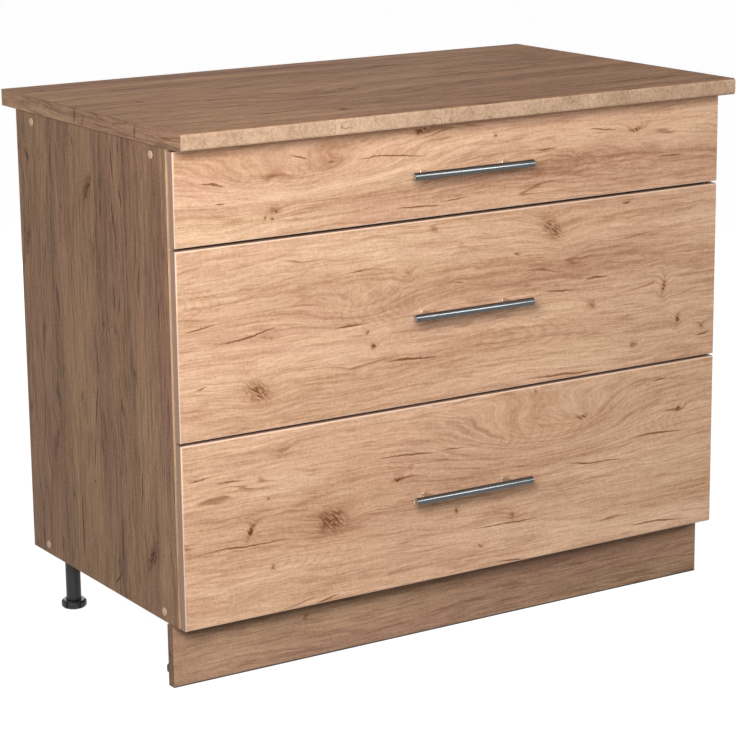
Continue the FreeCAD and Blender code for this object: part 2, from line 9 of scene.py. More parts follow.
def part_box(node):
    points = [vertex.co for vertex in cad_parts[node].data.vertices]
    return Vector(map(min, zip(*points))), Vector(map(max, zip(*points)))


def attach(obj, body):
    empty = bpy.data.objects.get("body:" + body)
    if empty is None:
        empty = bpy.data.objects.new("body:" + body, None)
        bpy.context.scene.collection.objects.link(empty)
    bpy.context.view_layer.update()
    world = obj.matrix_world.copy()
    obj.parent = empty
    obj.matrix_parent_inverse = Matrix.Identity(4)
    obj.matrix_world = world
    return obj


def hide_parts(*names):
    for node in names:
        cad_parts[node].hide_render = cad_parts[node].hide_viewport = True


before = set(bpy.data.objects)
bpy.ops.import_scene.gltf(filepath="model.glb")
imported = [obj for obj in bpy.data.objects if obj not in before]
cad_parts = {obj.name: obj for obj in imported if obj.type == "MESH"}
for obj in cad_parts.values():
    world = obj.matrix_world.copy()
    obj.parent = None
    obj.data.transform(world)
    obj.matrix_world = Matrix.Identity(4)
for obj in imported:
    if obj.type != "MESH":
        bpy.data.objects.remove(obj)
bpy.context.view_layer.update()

# The looks of a kitchen base cabinet with three drawers. Everything is in
# metres, in the cabinet's own frame: +X to the right along the front, +Y from
# the front to the back, +Z up, with the floor at z = 0.

DRAWERS = ("top", "middle", "bottom")
FEET = ("foot_front_left", "foot_back_left", "foot_front_right", "foot_back_right")


# Camera, floor, lights

CAMERA_PLACE = Vector((-2.1858, -3.4656, 1.3836))
CAMERA_YAW = math.radians(32.133)  # to the right of straight ahead
CAMERA_PITCH = math.radians(13.769)  # downwards
CAMERA_ROLL = math.radians(-0.664)
CAMERA_LENS = 126.14
SENSOR_WIDTH = 36.0

FLOOR_SIZE = 60.0
FLOOR_WHITE = 0.20
FLOOR_GLOW = 0.965  # what the camera sees on top of the light that falls on the floor
SOFT_LIGHT = 0.10  # the sky's level on the object


def new_object(name, data):
    """An object in the scene, at the origin."""
    made = bpy.data.objects.new(name, data)
    bpy.context.scene.collection.objects.link(made)
    return made


def make_camera():
    camera_data = bpy.data.cameras.new("camera")
    camera_data.lens = CAMERA_LENS
    camera_data.sensor_width = SENSOR_WIDTH
    camera = new_object("camera", camera_data)
    turned = Matrix.Rotation(-CAMERA_YAW, 4, "Z")
    raised = Matrix.Rotation(math.pi / 2 - CAMERA_PITCH, 4, "X")
    rolled = Matrix.Rotation(CAMERA_ROLL, 4, "Z")
    camera.matrix_world = Matrix.Translation(CAMERA_PLACE) @ turned @ raised @ rolled
    bpy.context.scene.camera = camera


def make_lamp(name, place, aim, width, height, watts):
    lamp_data = bpy.data.lights.new(name, "AREA")
    lamp_data.shape = "RECTANGLE"
    lamp_data.size = width
    lamp_data.size_y = height
    lamp_data.energy = watts
    lamp = new_object(name, lamp_data)
    way = (Vector(aim) - Vector(place)).normalized()
    lamp.matrix_world = Matrix.Translation(place) @ way.to_track_quat("-Z", "Y").to_matrix().to_4x4()


def make_lights():
    make_lamp("front_lamp", (-1.80, -2.15, 1.60), aim=(-0.25, -0.26, 0.60), width=1.0, height=1.0, watts=74)
    make_lamp("top_lamp", (-0.3, 0.3, 2.9), aim=(-0.1, 0.0, 0.85), width=1.2, height=1.2, watts=8)
    make_lamp("back_lamp", (1.3, 2.7, 0.55), aim=(0.1, 0.2, 0.45), width=1.4, height=0.9, watts=34)
    make_lamp("right_lamp", (1.70, -2.65, 1.80), aim=(0.0, -0.29, 0.55), width=0.22, height=1.9, watts=19)


# Shader nodes

MIX_SHARE, MIX_FIRST, MIX_SECOND, MIX_RESULT = 0, 6, 7, 2  # a colour mix's sockets


def add(tree, kind, settings=None, **inputs):
    """Adds a node. Inputs are named as on the node, with _ for a space, and take a value or a socket."""
    made = tree.nodes.new("ShaderNode" + kind)
    for key, value in (settings or {}).items():
        setattr(made, key, value)
    for key, value in inputs.items():
        feed(tree, made.inputs[key.replace("_", " ")], value)
    return made


def feed(tree, socket, value):
    if isinstance(value, bpy.types.NodeSocket):
        tree.links.new(value, socket)
    else:
        socket.default_value = value


def calc(tree, operation, *values, clamp=False):
    made = tree.nodes.new("ShaderNodeMath")
    made.operation = operation
    made.use_clamp = clamp
    for socket, value in zip(made.inputs, values):
        feed(tree, socket, value)
    return made.outputs[0]


def times(tree, *values, clamp=False):
    return calc(tree, "MULTIPLY", *values, clamp=clamp)


def plus(tree, *values, clamp=False):
    return calc(tree, "ADD", *values, clamp=clamp)


def minus(tree, *values, clamp=False):
    return calc(tree, "SUBTRACT", *values, clamp=clamp)


def times_plus(tree, *values, clamp=False):
    """The first value times the second, plus the third."""
    return calc(tree, "MULTIPLY_ADD", *values, clamp=clamp)


def calc_vector(tree, operation, *values):
    """The vector that comes out, or the number where the operation gives one."""
    made = tree.nodes.new("ShaderNodeVectorMath")
    made.operation = operation
    for socket, value in zip(made.inputs, values):
        feed(tree, socket, value)
    return made.outputs["Value" if operation in ("DOT_PRODUCT", "LENGTH", "DISTANCE") else "Vector"]


def blend_colours(tree, share, first, second, how="MIX"):
    made = tree.nodes.new("ShaderNodeMix")
    made.data_type = "RGBA"
    made.blend_type = how
    for index, value in ((MIX_SHARE, share), (MIX_FIRST, first), (MIX_SECOND, second)):
        feed(tree, made.inputs[index], value)
    return made.outputs[MIX_RESULT]


def noise(tree, place, stretch, detail=2.0, rough=0.5):
    """A noise that is stretched by a factor on each axis."""
    scaled = calc_vector(tree, "MULTIPLY", place, stretch)
    made = add(tree, "TexNoise", Vector=scaled, Scale=1.0, Detail=detail, Roughness=rough)
    return made.outputs["Fac"]


def streaks(tree, place, along, across, detail=2.0, rough=0.5, through=None):
    """A noise with its own fineness along the grain, across it and through the board."""
    return noise(tree, place, (along, across, across if through is None else through), detail, rough)


def speckle(tree, scale, detail, rough=0.5):
    """An even noise on the object's own coordinates."""
    position = add(tree, "TexCoord").outputs["Object"]
    return add(tree, "TexNoise", Vector=position, Scale=scale, Detail=detail, Roughness=rough).outputs["Fac"]


def step_between(tree, value, low, high):
    """0 up to low, 1 from high on, and a soft rise between them."""
    made = add(tree, "MapRange", {"interpolation_type": "SMOOTHSTEP"}, Value=value)
    made.inputs["From Min"].default_value = low
    made.inputs["From Max"].default_value = high
    return made.outputs["Result"]


def centred(tree, value, gain):
    return times(tree, minus(tree, value, 0.5), gain)


def paint(red, green, blue):
    """A colour as the eye reads it, 0 to 255 each, as the linear values of a shader."""
    return tuple(((part / 255 + 0.055) / 1.055) ** 2.4 for part in (red, green, blue)) + (1.0,)


def new_material(name):
    """A material with its shader: (material, tree, shader)."""
    material = bpy.data.materials.new(name)
    material.use_nodes = True
    tree = material.node_tree
    return material, tree, tree.nodes["Principled BSDF"]


def finish(tree, shader, colour, rough, height, strength, distance=0.0002):
    """Wires up a shader's colour, its roughness and the bumps of its surface."""
    tree.links.new(colour, shader.inputs["Base Color"])
    tree.links.new(rough, shader.inputs["Roughness"])
    bump = add(tree, "Bump", Height=height, Strength=strength, Distance=distance)
    tree.links.new(bump.outputs[0], shader.inputs["Normal"])


def new_group(name, inputs, outputs, places=()):
    """A group with its inputs (label, kind), its number outputs and its place outputs."""
    group = bpy.data.node_groups.new(name, "ShaderNodeTree")
    for label, kind in inputs:
        group.interface.new_socket(label, in_out="INPUT", socket_type="NodeSocket" + kind)
    for label in outputs:
        group.interface.new_socket(label, in_out="OUTPUT", socket_type="NodeSocketFloat")
    for label in places:
        group.interface.new_socket(label, in_out="OUTPUT", socket_type="NodeSocketVector")
    return group, group.nodes.new("NodeGroupInput").outputs, group.nodes.new("NodeGroupOutput").inputs


# Oak print. A place on a board is (along the grain, across it, through the
# board), in metres.

KNOT_LEAN = math.radians(38.0)  # most of this print's knots are torn the same way
KNOT_STAIN = (0.64, 0.49, 0.38, 1.0)  # the brown halo round knots and splits
KNOT_REACH = 1.1  # a knot's length, against the distance between its two pixels
SHORTEST_KNOT = 0.008
CRACK_SPREAD = 1.15  # a split with its frayed edges, against its dark middle
THIN_END = 0.020
SLANT_KEPT = 0.15
PORE_SHARE = 0.28
PRINT_CRACK_SHARE = 0.42
RING_SHARE = 0.15
SPLIT_SHARE = 0.64
STAIN_GAIN = 1.6


def make_grain_group():
    """The grain: Tone from dark to light, Warmth from yellow to pink, and the print's Crack and Pore."""
    group, given, result = new_group(
        "oak_grain", (("Place", "Vector"), ("Swirl", "Float")), ("Tone", "Warmth", "Crack", "Pore"))
    place = given["Place"]
    sway = centred(group, streaks(group, place, along=1.6, across=6.0), 0.050)
    ripple = centred(group, streaks(group, place, along=14.0, across=34.0, rough=0.6), 0.010)
    apart = add(group, "SeparateXYZ", Vector=place).outputs
    moved = plus(group, apart["Y"], given["Swirl"])
    across = plus(group, moved, plus(group, sway, ripple))
    grain = add(group, "CombineXYZ", X=apart["X"], Y=across, Z=apart["Z"]).outputs[0]
    bands = streaks(group, grain, along=1.4, across=20.0, detail=3.0, rough=0.55)
    lines = streaks(group, grain, along=3.0, across=62.0, rough=0.6)
    lines = calc(group, "ABSOLUTE", minus(group, lines, 0.5))
    lines = step_between(group, lines, 0.0, 0.055)
    fibres = streaks(group, grain, along=22.0, across=330.0, detail=3.0, rough=0.7)
    curl = noise(group, place, (230.0, 210.0, 210.0), detail=3.0, rough=0.8)
    tone = plus(group, centred(group, bands, 1.1), centred(group, lines, 0.26))
    tone = plus(group, tone, centred(group, fibres, 1.4))
    tone = plus(group, tone, centred(group, curl, 0.9))
    feed(group, result["Tone"], plus(group, tone, 0.44, clamp=True))
    hue = streaks(group, grain, along=1.8, across=13.0, detail=3.0, rough=0.6)
    feed(group, result["Warmth"], step_between(group, hue, 0.36, 0.66))
    thin = streaks(group, grain, along=3.4, across=26.0)
    thin = calc(group, "ABSOLUTE", minus(group, thin, 0.5))
    where = step_between(group, streaks(group, place, along=6.0, across=19.0, detail=1.0), 0.58, 0.70)
    off_line = step_between(group, thin, 0.002, 0.018)
    feed(group, result["Crack"], times(group, minus(group, 1.0, off_line), where))
    dashes = streaks(group, grain, along=60.0, across=640.0, detail=1.0)
    feed(group, result["Pore"], step_between(group, dashes, 0.60, 0.74))
    return group


def make_edge_group():
    """How the splits wander, how the knots' outlines are torn, and how their hearts are streaked."""
    group, given, result = new_group(
        "oak_torn_edges", (("Place", "Vector"),), ("Wander", "Streaks"), ("Torn",))
    place = given["Place"]
    wander = centred(group, streaks(group, place, along=11.0, across=30.0, detail=1.0, through=0.0), 0.014)
    shiver = centred(group, streaks(group, place, along=110.0, across=160.0, through=0.0), 0.0028)
    feed(group, result["Wander"], plus(group, wander, shiver))
    rough = add(group, "TexNoise", Vector=place, Scale=90.0, Detail=2.0).outputs["Color"]
    rough = calc_vector(group, "SUBTRACT", rough, (0.5, 0.5, 0.5))
    feed(group, result["Torn"], calc_vector(group, "MULTIPLY_ADD", rough, (0.012, 0.012, 0.0), place))
    leaning = add(group, "Mapping", Vector=place, Rotation=(0.0, 0.0, KNOT_LEAN)).outputs[0]
    torn = step_between(
        group, streaks(group, leaning, along=75.0, across=330.0, rough=0.6, through=0.0), 0.40, 0.60)
    feed(group, result["Streaks"], times_plus(group, torn, 0.75, 0.25))
    return group


def two_ways(group, place, given, origin="Centre"):
    """How far a place lies from an origin, by the vectors Along and Across."""
    offset = calc_vector(group, "SUBTRACT", place, given[origin])
    return [calc_vector(group, "DOT_PRODUCT", offset, given[way]) for way in ("Along", "Across")]


def make_crack_group():
    """A thin dark split that runs from Start along the board, and tapers to both ends."""
    group, given, result = new_group(
        "oak_crack",
        (("Place", "Vector"), ("Wander", "Float"), ("Start", "Vector"), ("Along", "Vector"),
         ("Across", "Vector"), ("Width", "Float")),
        ("Mark",))
    run, side = two_ways(group, given["Place"], given, "Start")
    side = calc(group, "ABSOLUTE", plus(group, side, given["Wander"]))
    taper = times(group, run, minus(group, 1.0, run))
    taper = times(group, taper, 4.0, clamp=True)
    reach = times(group, taper, given["Width"])
    inside = calc(group, "DIVIDE", minus(group, reach, side), given["Width"])
    feed(group, result["Mark"], times(group, inside, 1.5, clamp=True))
    return group


def make_knot_group():
    """A knot: Bulge pushes the grain round it, and Dark is its streaked heart in a fainter halo."""
    group, given, result = new_group(
        "oak_knot",
        (("Place", "Vector"), ("Torn", "Vector"), ("Streaks", "Float"), ("Centre", "Vector"),
         ("Along", "Vector"), ("Across", "Vector"), ("Depth", "Float")),
        ("Bulge", "Dark"))
    falls = []
    for place, gain in ((given["Place"], -0.22), (given["Torn"], -1.2), (given["Torn"], -0.35)):
        squares = [calc(group, "POWER", way, 2.0) for way in two_ways(group, place, given)]
        falls.append(calc(group, "EXPONENT", times(group, plus(group, *squares), gain)))
    bulge, heart, halo = falls
    feed(group, result["Bulge"], bulge)
    dark = times_plus(group, halo, 0.22, times(group, heart, given["Streaks"]))
    feed(group, result["Dark"], times(group, dark, given["Depth"], clamp=True))
    return group


def make_arcs_group():
    """Nested arcs, as where a saw cuts through the tops of the growth rings."""
    group, given, result = new_group(
        "oak_arcs",
        (("Place", "Vector"), ("Wander", "Float"), ("Centre", "Vector"), ("Along", "Vector"),
         ("Across", "Vector"), ("Count", "Float"), ("Bend", "Float")),
        ("Lines",))
    long_way, short_way = two_ways(group, given["Place"], given)
    short_way = times_plus(group, given["Wander"], 22.0, short_way)
    long_square = calc(group, "POWER", long_way, 2.0)
    short_square = calc(group, "POWER", short_way, 2.0)
    phase = times_plus(group, short_square, given["Bend"], long_way)
    phase = times_plus(group, phase, given["Count"], times(group, given["Wander"], 70.0))
    saw = calc(group, "FRACT", phase)
    ridge = calc(group, "ABSOLUTE", times_plus(group, saw, 2.0, -1.0))
    line = step_between(group, ridge, 0.45, 0.95)
    window = minus(group, 1.0, plus(group, long_square, short_square), clamp=True)
    window = times(group, window, 1.6, clamp=True)
    feed(group, result["Lines"], times(group, line, window))
    return group


class Oval:
    """An oval on a board: its middle along and across the grain, its length, its width and its lean."""

    def __init__(self, along, across, length, width, lean):
        self.centre = (along, across, 0.0)
        way = Vector((math.cos(math.radians(lean)), math.sin(math.radians(lean)), 0.0))
        self.along = way / (length / 2)
        self.across = Vector((-way.y, way.x, 0.0)) / (width / 2)


class Knot(Oval):
    """A knot, how dark it is, and how far it pushes the grain aside, in its own widths."""

    def __init__(self, along, across, length, width, depth=0.8, lean=0.0, push=0.6):
        super().__init__(along, across, length, width, lean)
        self.depth = depth
        self.push = push * width


class Arcs(Oval):
    """Nested arcs on a board, and how many. A bend below zero turns them round."""

    def __init__(self, along, across, length, width, count, bend=1.0, lean=0.0):
        super().__init__(along, across, length, width, lean)
        self.count = count / 2
        self.bend = bend


class Crack:
    """A split from one place on its board to another."""

    def __init__(self, start, end, width=0.0016):
        way = Vector((end[0] - start[0], end[1] - start[1], 0.0))
        self.start = (start[0], start[1], 0.0)
        self.along = way / way.length_squared
        self.across = Vector((-way.y, way.x, 0.0)).normalized()
        self.width = width * CRACK_SPREAD


class Face:
    """A flat face as the photograph shows it, which works out where on its board a pixel lies."""

    def __init__(self, *corners):
        """Each corner is its pixel and its place, (along the grain, across it)."""
        rows = []
        for (x, y), (along, across) in corners:
            rows.append((x, y, 1, 0, 0, 0, -along * x, -along * y))
            rows.append((0, 0, 0, x, y, 1, -across * x, -across * y))
        places = [part for _, place in corners for part in place]
        self.terms = numpy.linalg.solve(rows, places).tolist()

    def place(self, pixel):
        a, b, c, d, e, f, g, h = self.terms
        x, y = pixel
        depth = g * x + h * y + 1
        return Vector(((a * x + b * y + c) / depth, (d * x + e * y + f) / depth))

    def knot(self, middle, length, width, depth=0.8, lean=0.0, push=0.6):
        """A knot round a pixel, with its real length and width."""
        return Knot(*self.place(middle), length, width, depth, lean, push)

    def long_knot(self, start, end, width, depth, push=0.6):
        """A knot that reaches a little past two pixels."""
        start, end = self.place(start), self.place(end)
        way = end - start
        length = max(way.length, SHORTEST_KNOT) * KNOT_REACH
        return Knot(*(start + end) / 2, length, width, depth, math.degrees(math.atan2(way.y, way.x)), push)

    def arcs(self, middle, *sizes):
        return Arcs(*self.place(middle), *sizes)

    def crack(self, start, end, width=0.0016):
        return Crack(self.place(start), self.place(end), width)

    def level_crack(self, start, end, width):
        """A split nearly along the grain, with thin ends past the pixels, for a face seen at a low angle."""
        start, end = sorted((self.place(start), self.place(end)), key=lambda place: place.x)
        slant = (end.y - start.y) * SLANT_KEPT / 2
        middle = (start.y + end.y) / 2
        return Crack((start.x - THIN_END, middle - slant), (end.x + THIN_END, middle + slant), width)


GRAIN = make_grain_group()
EDGES = make_edge_group()
CRACK = make_crack_group()
KNOT = make_knot_group()
ARCS = make_arcs_group()


def use_group(tree, group, **inputs):
    made = tree.nodes.new("ShaderNodeGroup")
    made.node_tree = group
    for key, value in inputs.items():
        feed(tree, made.inputs[key], value)
    return made.outputs


def board_place(tree, axes):
    """Where a point lies on a board whose grain, width and thickness run along the three axes."""
    position = add(tree, "TexCoord").outputs["Object"]
    apart = add(tree, "SeparateXYZ", Vector=position).outputs
    return add(tree, "CombineXYZ", X=apart[axes[0]], Y=apart[axes[1]], Z=apart[axes[2]]).outputs[0]


def largest(tree, values):
    top = values[0]
    for value in values[1:]:
        top = calc(tree, "MAXIMUM", top, value)
    return top


class Oak:
    """The colours of one oak print: where it is yellow, where it is pink, and its splits."""

    def __init__(self, light, dark, pink_light, pink_dark, crack):
        self.light = light
        self.dark = dark
        self.pink_light = pink_light
        self.pink_dark = pink_dark
        self.crack = crack
        # A paler colour, a painted highlight for the rounded edges of fronts, and a darker one, painted shade
        # for their sides in the gaps between fronts.
        self.painted_highlight = tuple(part * 0.75 + 0.25 for part in light[:3]) + (1.0,)
        self.edge = tuple(part * 0.6 for part in pink_dark[:3]) + (1.0,)


FRONT_OAK = Oak(
    paint(254, 214, 179), paint(193, 146, 109), paint(245, 199, 166), paint(180, 131, 101), paint(84, 44, 22))
# The side panels' and the plinth end's copy of the print: darker than the fronts', partly painted shade for
# faces turned away from the light.
SHADED_SIDE_OAK = Oak(
    paint(194, 154, 118), paint(104, 76, 54), paint(178, 134, 108), paint(92, 64, 48), paint(50, 28, 18))
# The worktop's top: the same print, darker, partly painted shade for a face lit at a grazing angle.
SHADED_TOP_OAK = Oak(
    paint(206, 160, 122), paint(112, 78, 55), paint(192, 143, 110), paint(104, 70, 52), paint(60, 34, 22))
# The plinth: the same print, darker, partly painted shade under the overhang of the fronts.
SHADED_PLINTH_OAK = Oak(
    paint(212, 172, 138), paint(142, 110, 86), paint(200, 158, 130), paint(132, 98, 80), paint(80, 50, 34))
INNER_OAK = Oak(
    paint(226, 186, 148), paint(158, 120, 92), paint(208, 164, 136), paint(140, 102, 82), paint(84, 52, 34))
# The worktop's end: the same print, darker than its front edge, partly painted shade for a face turned away
# from the light.
SHADED_END_OAK = Oak(
    paint(212, 168, 132), paint(120, 88, 64), paint(194, 148, 120), paint(108, 76, 58), paint(58, 34, 22))
EDGE_OAK = Oak(
    paint(230, 196, 166), paint(180, 146, 116), paint(222, 186, 156), paint(172, 138, 110),
    paint(110, 74, 48))


def oak(name, axes, colours, shift, knots=(), cracks=(), arcs=(), gloss=0.46, painted_highlight=0.0, shine=0.12, raw=()):
    """Oak print on a board, with its own knots and splits besides those of the print."""
    material, tree, shader = new_material(name)
    place = board_place(tree, axes)
    if knots or cracks or arcs:
        edges = use_group(tree, EDGES, Place=place)
    marks = [
        use_group(tree, CRACK, Place=place, Wander=edges["Wander"], Start=crack.start, Along=crack.along,
                  Across=crack.across, Width=crack.width)["Mark"]
        for crack in cracks]
    hearts = []
    swirl = 0.0
    for knot in knots:
        values = use_group(tree, KNOT, Place=place, Torn=edges["Torn"], Streaks=edges["Streaks"],
                           Centre=knot.centre, Along=knot.along, Across=knot.across, Depth=knot.depth)
        hearts.append(values["Dark"])
        swirl = times_plus(tree, values["Bulge"], knot.push, swirl)
    rings = [
        use_group(tree, ARCS, Place=place, Wander=edges["Wander"], Centre=ring.centre, Along=ring.along,
                  Across=ring.across, Count=ring.count, Bend=ring.bend)["Lines"]
        for ring in arcs]
    moved = calc_vector(tree, "ADD", place, shift)
    grain = use_group(tree, GRAIN, Place=moved, Swirl=swirl)
    yellow = blend_colours(tree, grain["Tone"], colours.dark, colours.light)
    pink = blend_colours(tree, grain["Tone"], colours.pink_dark, colours.pink_light)
    colour = blend_colours(tree, grain["Warmth"], yellow, pink)
    colour = blend_colours(tree, times(tree, grain["Pore"], PORE_SHARE), colour, colours.pink_dark)
    dark = times(tree, grain["Crack"], PRINT_CRACK_SHARE)
    for values, share in ((rings, RING_SHARE), (marks, SPLIT_SHARE)):
        if values:
            dark = calc(tree, "MAXIMUM", dark, times(tree, largest(tree, values), share))
    if hearts:
        dark = calc(tree, "MAXIMUM", dark, largest(tree, hearts))
    stained = times(tree, dark, STAIN_GAIN, clamp=True)
    colour = blend_colours(tree, stained, colour, KNOT_STAIN, "MULTIPLY")
    split = times_plus(tree, dark, 1.3, -0.3, clamp=True)
    colour = blend_colours(tree, split, colour, colours.crack)
    # Fronts get a painted highlight on their rounded edges and painted shade on their sides.
    if painted_highlight:
        colour = paint_edge_highlight_and_shade(tree, colour, colours, painted_highlight)
    if raw:
        colour = blend_colours(tree, facing_to(tree, raw), colour, chips(tree))
    rough = times_plus(tree, grain["Pore"], 0.08, gloss)
    grooves = streaks(tree, moved, along=30.0, across=500.0, detail=1.0)
    finish(tree, shader, colour, rough, grooves, strength=0.25)
    shader.inputs["Specular IOR Level"].default_value = shine
    return material


def paint_edge_highlight_and_shade(tree, colour, colours, painted_highlight):
    """A painted highlight, paler, where a front's edge is rounded, and painted shade, darker, on its sides in
    the gaps.
    """
    facing = add(tree, "SeparateXYZ", Vector=add(tree, "NewGeometry").outputs["Normal"]).outputs["Y"]
    # A painted highlight on the rounded edge.
    rounded = times(tree, step_between(tree, facing, -0.995, -0.90), painted_highlight)
    colour = blend_colours(tree, rounded, colour, colours.painted_highlight)
    # Painted shade on the sides that face into the gaps between fronts.
    side = times(tree, step_between(tree, facing, -0.5, -0.2), 0.75)
    return blend_colours(tree, side, colour, colours.edge)


def facing_to(tree, ways):
    """1 on the faces that look one of these ways, such as ("Z", -1)."""
    normal = add(tree, "SeparateXYZ", Vector=add(tree, "NewGeometry").outputs["Normal"]).outputs
    return largest(tree, [step_between(tree, times(tree, normal[axis], hand), 0.6, 0.8)
                          for axis, hand in ways])


def chips(tree):
    """The colour of a cut edge of chipboard: pressed chips and glue."""
    position = add(tree, "TexCoord").outputs["Object"]
    coarse = add(tree, "TexVoronoi", Vector=position, Scale=420.0).outputs["Distance"]
    fine = speckle(tree, scale=900.0, detail=3.0)
    share = plus(tree, times(tree, coarse, 0.9), centred(tree, fine, 1.2), clamp=True)
    return blend_colours(tree, share, paint(150, 112, 74), paint(214, 186, 146))


def hardboard(name, bare_side):
    """Thin fibreboard: white lacquer on one side, and bare brown fibres on the other."""
    material, tree, shader = new_material(name)
    position = add(tree, "TexCoord").outputs["Object"]
    fluff = speckle(tree, scale=260.0, detail=5.0, rough=0.75)
    clouds = speckle(tree, scale=9.0, detail=3.0)
    hairs = noise(tree, position, (900.0, 900.0, 240.0), detail=3.0, rough=0.7)
    smears = noise(tree, position, (5.0, 5.0, 26.0), detail=4.0, rough=0.65)
    brown = plus(tree, centred(tree, fluff, 1.8), centred(tree, hairs, 1.4))
    blots = plus(tree, centred(tree, clouds, 1.1), centred(tree, smears, 1.2))
    brown = plus(tree, brown, blots)
    brown = plus(tree, brown, 0.5, clamp=True)
    bare = blend_colours(tree, brown, paint(122, 86, 54), paint(196, 156, 114))
    peel = speckle(tree, scale=700.0, detail=2.0)
    gloom = plus(tree, centred(tree, clouds, 0.8), peel)
    white = blend_colours(tree, gloom, paint(224, 222, 216), paint(240, 239, 235))
    share = facing_to(tree, [bare_side])
    height = plus(tree, times(tree, brown, share), times(tree, peel, 0.3))
    rough = times_plus(tree, share, 0.45, 0.35)
    finish(tree, shader, blend_colours(tree, share, white, bare), rough, height, strength=0.4)
    return material


def plain_board(name, pale, dark, speck, size=900.0, rough=0.6):
    """Pressed board or lacquer: a speckled face."""
    material, tree, shader = new_material(name)
    grains = speckle(tree, size, detail=3.0, rough=0.65)
    clouds = speckle(tree, scale=14.0, detail=2.0)
    mixed = plus(tree, centred(tree, grains, speck), centred(tree, clouds, 0.5))
    share = plus(tree, mixed, 0.5, clamp=True)
    roughness = times_plus(tree, share, 0.1, rough - 0.05)
    finish(tree, shader, blend_colours(tree, share, dark, pale), roughness, grains, strength=0.25)
    return material


def metal(name, colour, rough, stretch, wear):
    """Steel with fine brush lines along one axis, or an even zinc bloom."""
    material, tree, shader = new_material(name)
    lines = noise(tree, add(tree, "TexCoord").outputs["Object"], stretch, detail=3.0, rough=0.6)
    clouds = speckle(tree, scale=55.0, detail=3.0)
    share = plus(tree, centred(tree, lines, 1.6), centred(tree, clouds, 0.8))
    share = plus(tree, share, 0.5, clamp=True)
    darker = tuple(part * (1 - wear * 2) for part in colour[:3]) + (1.0,)
    roughness = times_plus(tree, share, wear, rough - wear / 2)
    finish(tree, shader, blend_colours(tree, share, darker, colour), roughness, lines, 0.12, 0.00005)
    shader.inputs["Metallic"].default_value = 1.0
    return material


def plastic(name, colour, rough):
    """Moulded plastic with a fine spark-eroded face."""
    material, tree, shader = new_material(name)
    grains = speckle(tree, scale=700.0, detail=3.0)
    clouds = speckle(tree, scale=40.0, detail=2.0)
    lighter = tuple(min(1.0, part * 1.35 + 0.004) for part in colour[:3]) + (1.0,)
    share = plus(tree, centred(tree, grains, 0.8), clouds, clamp=True)
    roughness = times_plus(tree, grains, 0.16, rough - 0.08)
    finish(tree, shader, blend_colours(tree, share, colour, lighter), roughness, grains, 0.2, 0.0001)
    return material


# Meshes

SAME_PLACE = 1e-5  # what lies nearer than this counts as being there
MERGE_DISTANCE = 1e-6
HEAD_MERGE_DISTANCE = 1e-7
NO_MERGE = 1e-9
SHARP_ANGLE = 35.0  # of fittings, in degrees
HANDLE_SHARP_ANGLE = 25.0
SQUARE_ON = 0.9  # how far a face looks one way, as the part of its normal that way
SLANTING = 0.7
HALF_WAY = 0.5


def box(bm, low, high):
    """A box between two corners. Gives its vertices."""
    low, high = Vector(low), Vector(high)
    verts = bmesh.ops.create_cube(bm, size=1.0)["verts"]
    bmesh.ops.scale(bm, vec=high - low, verts=verts)
    bmesh.ops.translate(bm, vec=(low + high) / 2, verts=verts)
    return verts


def edges_of(verts, test):
    """The edges among these vertices whose two ends both pass the test."""
    edges = {edge for vert in verts for edge in vert.link_edges}
    return [edge for edge in edges if all(test(vert.co) for vert in edge.verts)]


def bevel(bm, edges, width, segments):
    bmesh.ops.bevel(
        bm, geom=edges, offset=width, segments=segments, profile=0.5, affect="EDGES", material=-1)


def near(value, wanted):
    return abs(value - wanted) < SAME_PLACE


def turned_shape(bm, profile, place, axis, steps):
    """Spins a profile of (along the axis, away from it) points round an axis through a place."""
    ahead = Vector(axis).normalized()
    out = ahead.orthogonal().normalized()
    place = Vector(place)
    verts = [bm.verts.new(place + ahead * along + out * away) for along, away in profile]
    edges = [bm.edges.new(pair) for pair in zip(verts, verts[1:])]
    bmesh.ops.spin(
        bm, geom=verts + edges, cent=place, axis=ahead, angle=math.tau, steps=steps, use_merge=True,
        use_duplicate=False)


def everything(bm):
    return bm.verts[:] + bm.edges[:] + bm.faces[:]


def add_mirror_image(bm):
    """Adds the same shape on the other side of the cabinet's middle."""
    bmesh.ops.mirror(bm, geom=everything(bm), axis="X", merge_dist=NO_MERGE)


def drawn_out(bm, outline, axis, length):
    """A flat outline, given by its corners, drawn out along an axis."""
    face = bm.faces.new([bm.verts.new(corner) for corner in outline])
    made = bmesh.ops.extrude_face_region(bm, geom=[face])["geom"]
    verts = [item for item in made if isinstance(item, bmesh.types.BMVert)]
    bmesh.ops.translate(bm, vec=Vector(axis) * length, verts=verts)
    bmesh.ops.recalc_face_normals(bm, faces=bm.faces)


def edges_at(bm, test):
    """The edges whose middle passes the test."""
    return [edge for edge in bm.edges if test((edge.verts[0].co + edge.verts[1].co) / 2)]


def join_into(whole, bm):
    mesh = bpy.data.meshes.new("part")
    bm.to_mesh(mesh)
    bm.free()
    whole.from_mesh(mesh)
    bpy.data.meshes.remove(mesh)


def cut_away(bm, cutter):
    """Cuts one closed mesh out of another."""
    objects = []
    for label, shape in (("body", bm), ("cutter", cutter)):
        bmesh.ops.recalc_face_normals(shape, faces=shape.faces)
        mesh = bpy.data.meshes.new(label)
        shape.to_mesh(mesh)
        objects.append(new_object(label, mesh))
    body, tool = objects
    boolean = body.modifiers.new("cut", "BOOLEAN")
    boolean.operation = "DIFFERENCE"
    boolean.solver = "EXACT"
    boolean.object = tool
    bpy.context.view_layer.update()
    result = body.evaluated_get(bpy.context.evaluated_depsgraph_get()).to_mesh()
    bm.clear()
    bm.from_mesh(result)
    for made in objects:
        mesh = made.data
        bpy.data.objects.remove(made)
        bpy.data.meshes.remove(mesh)


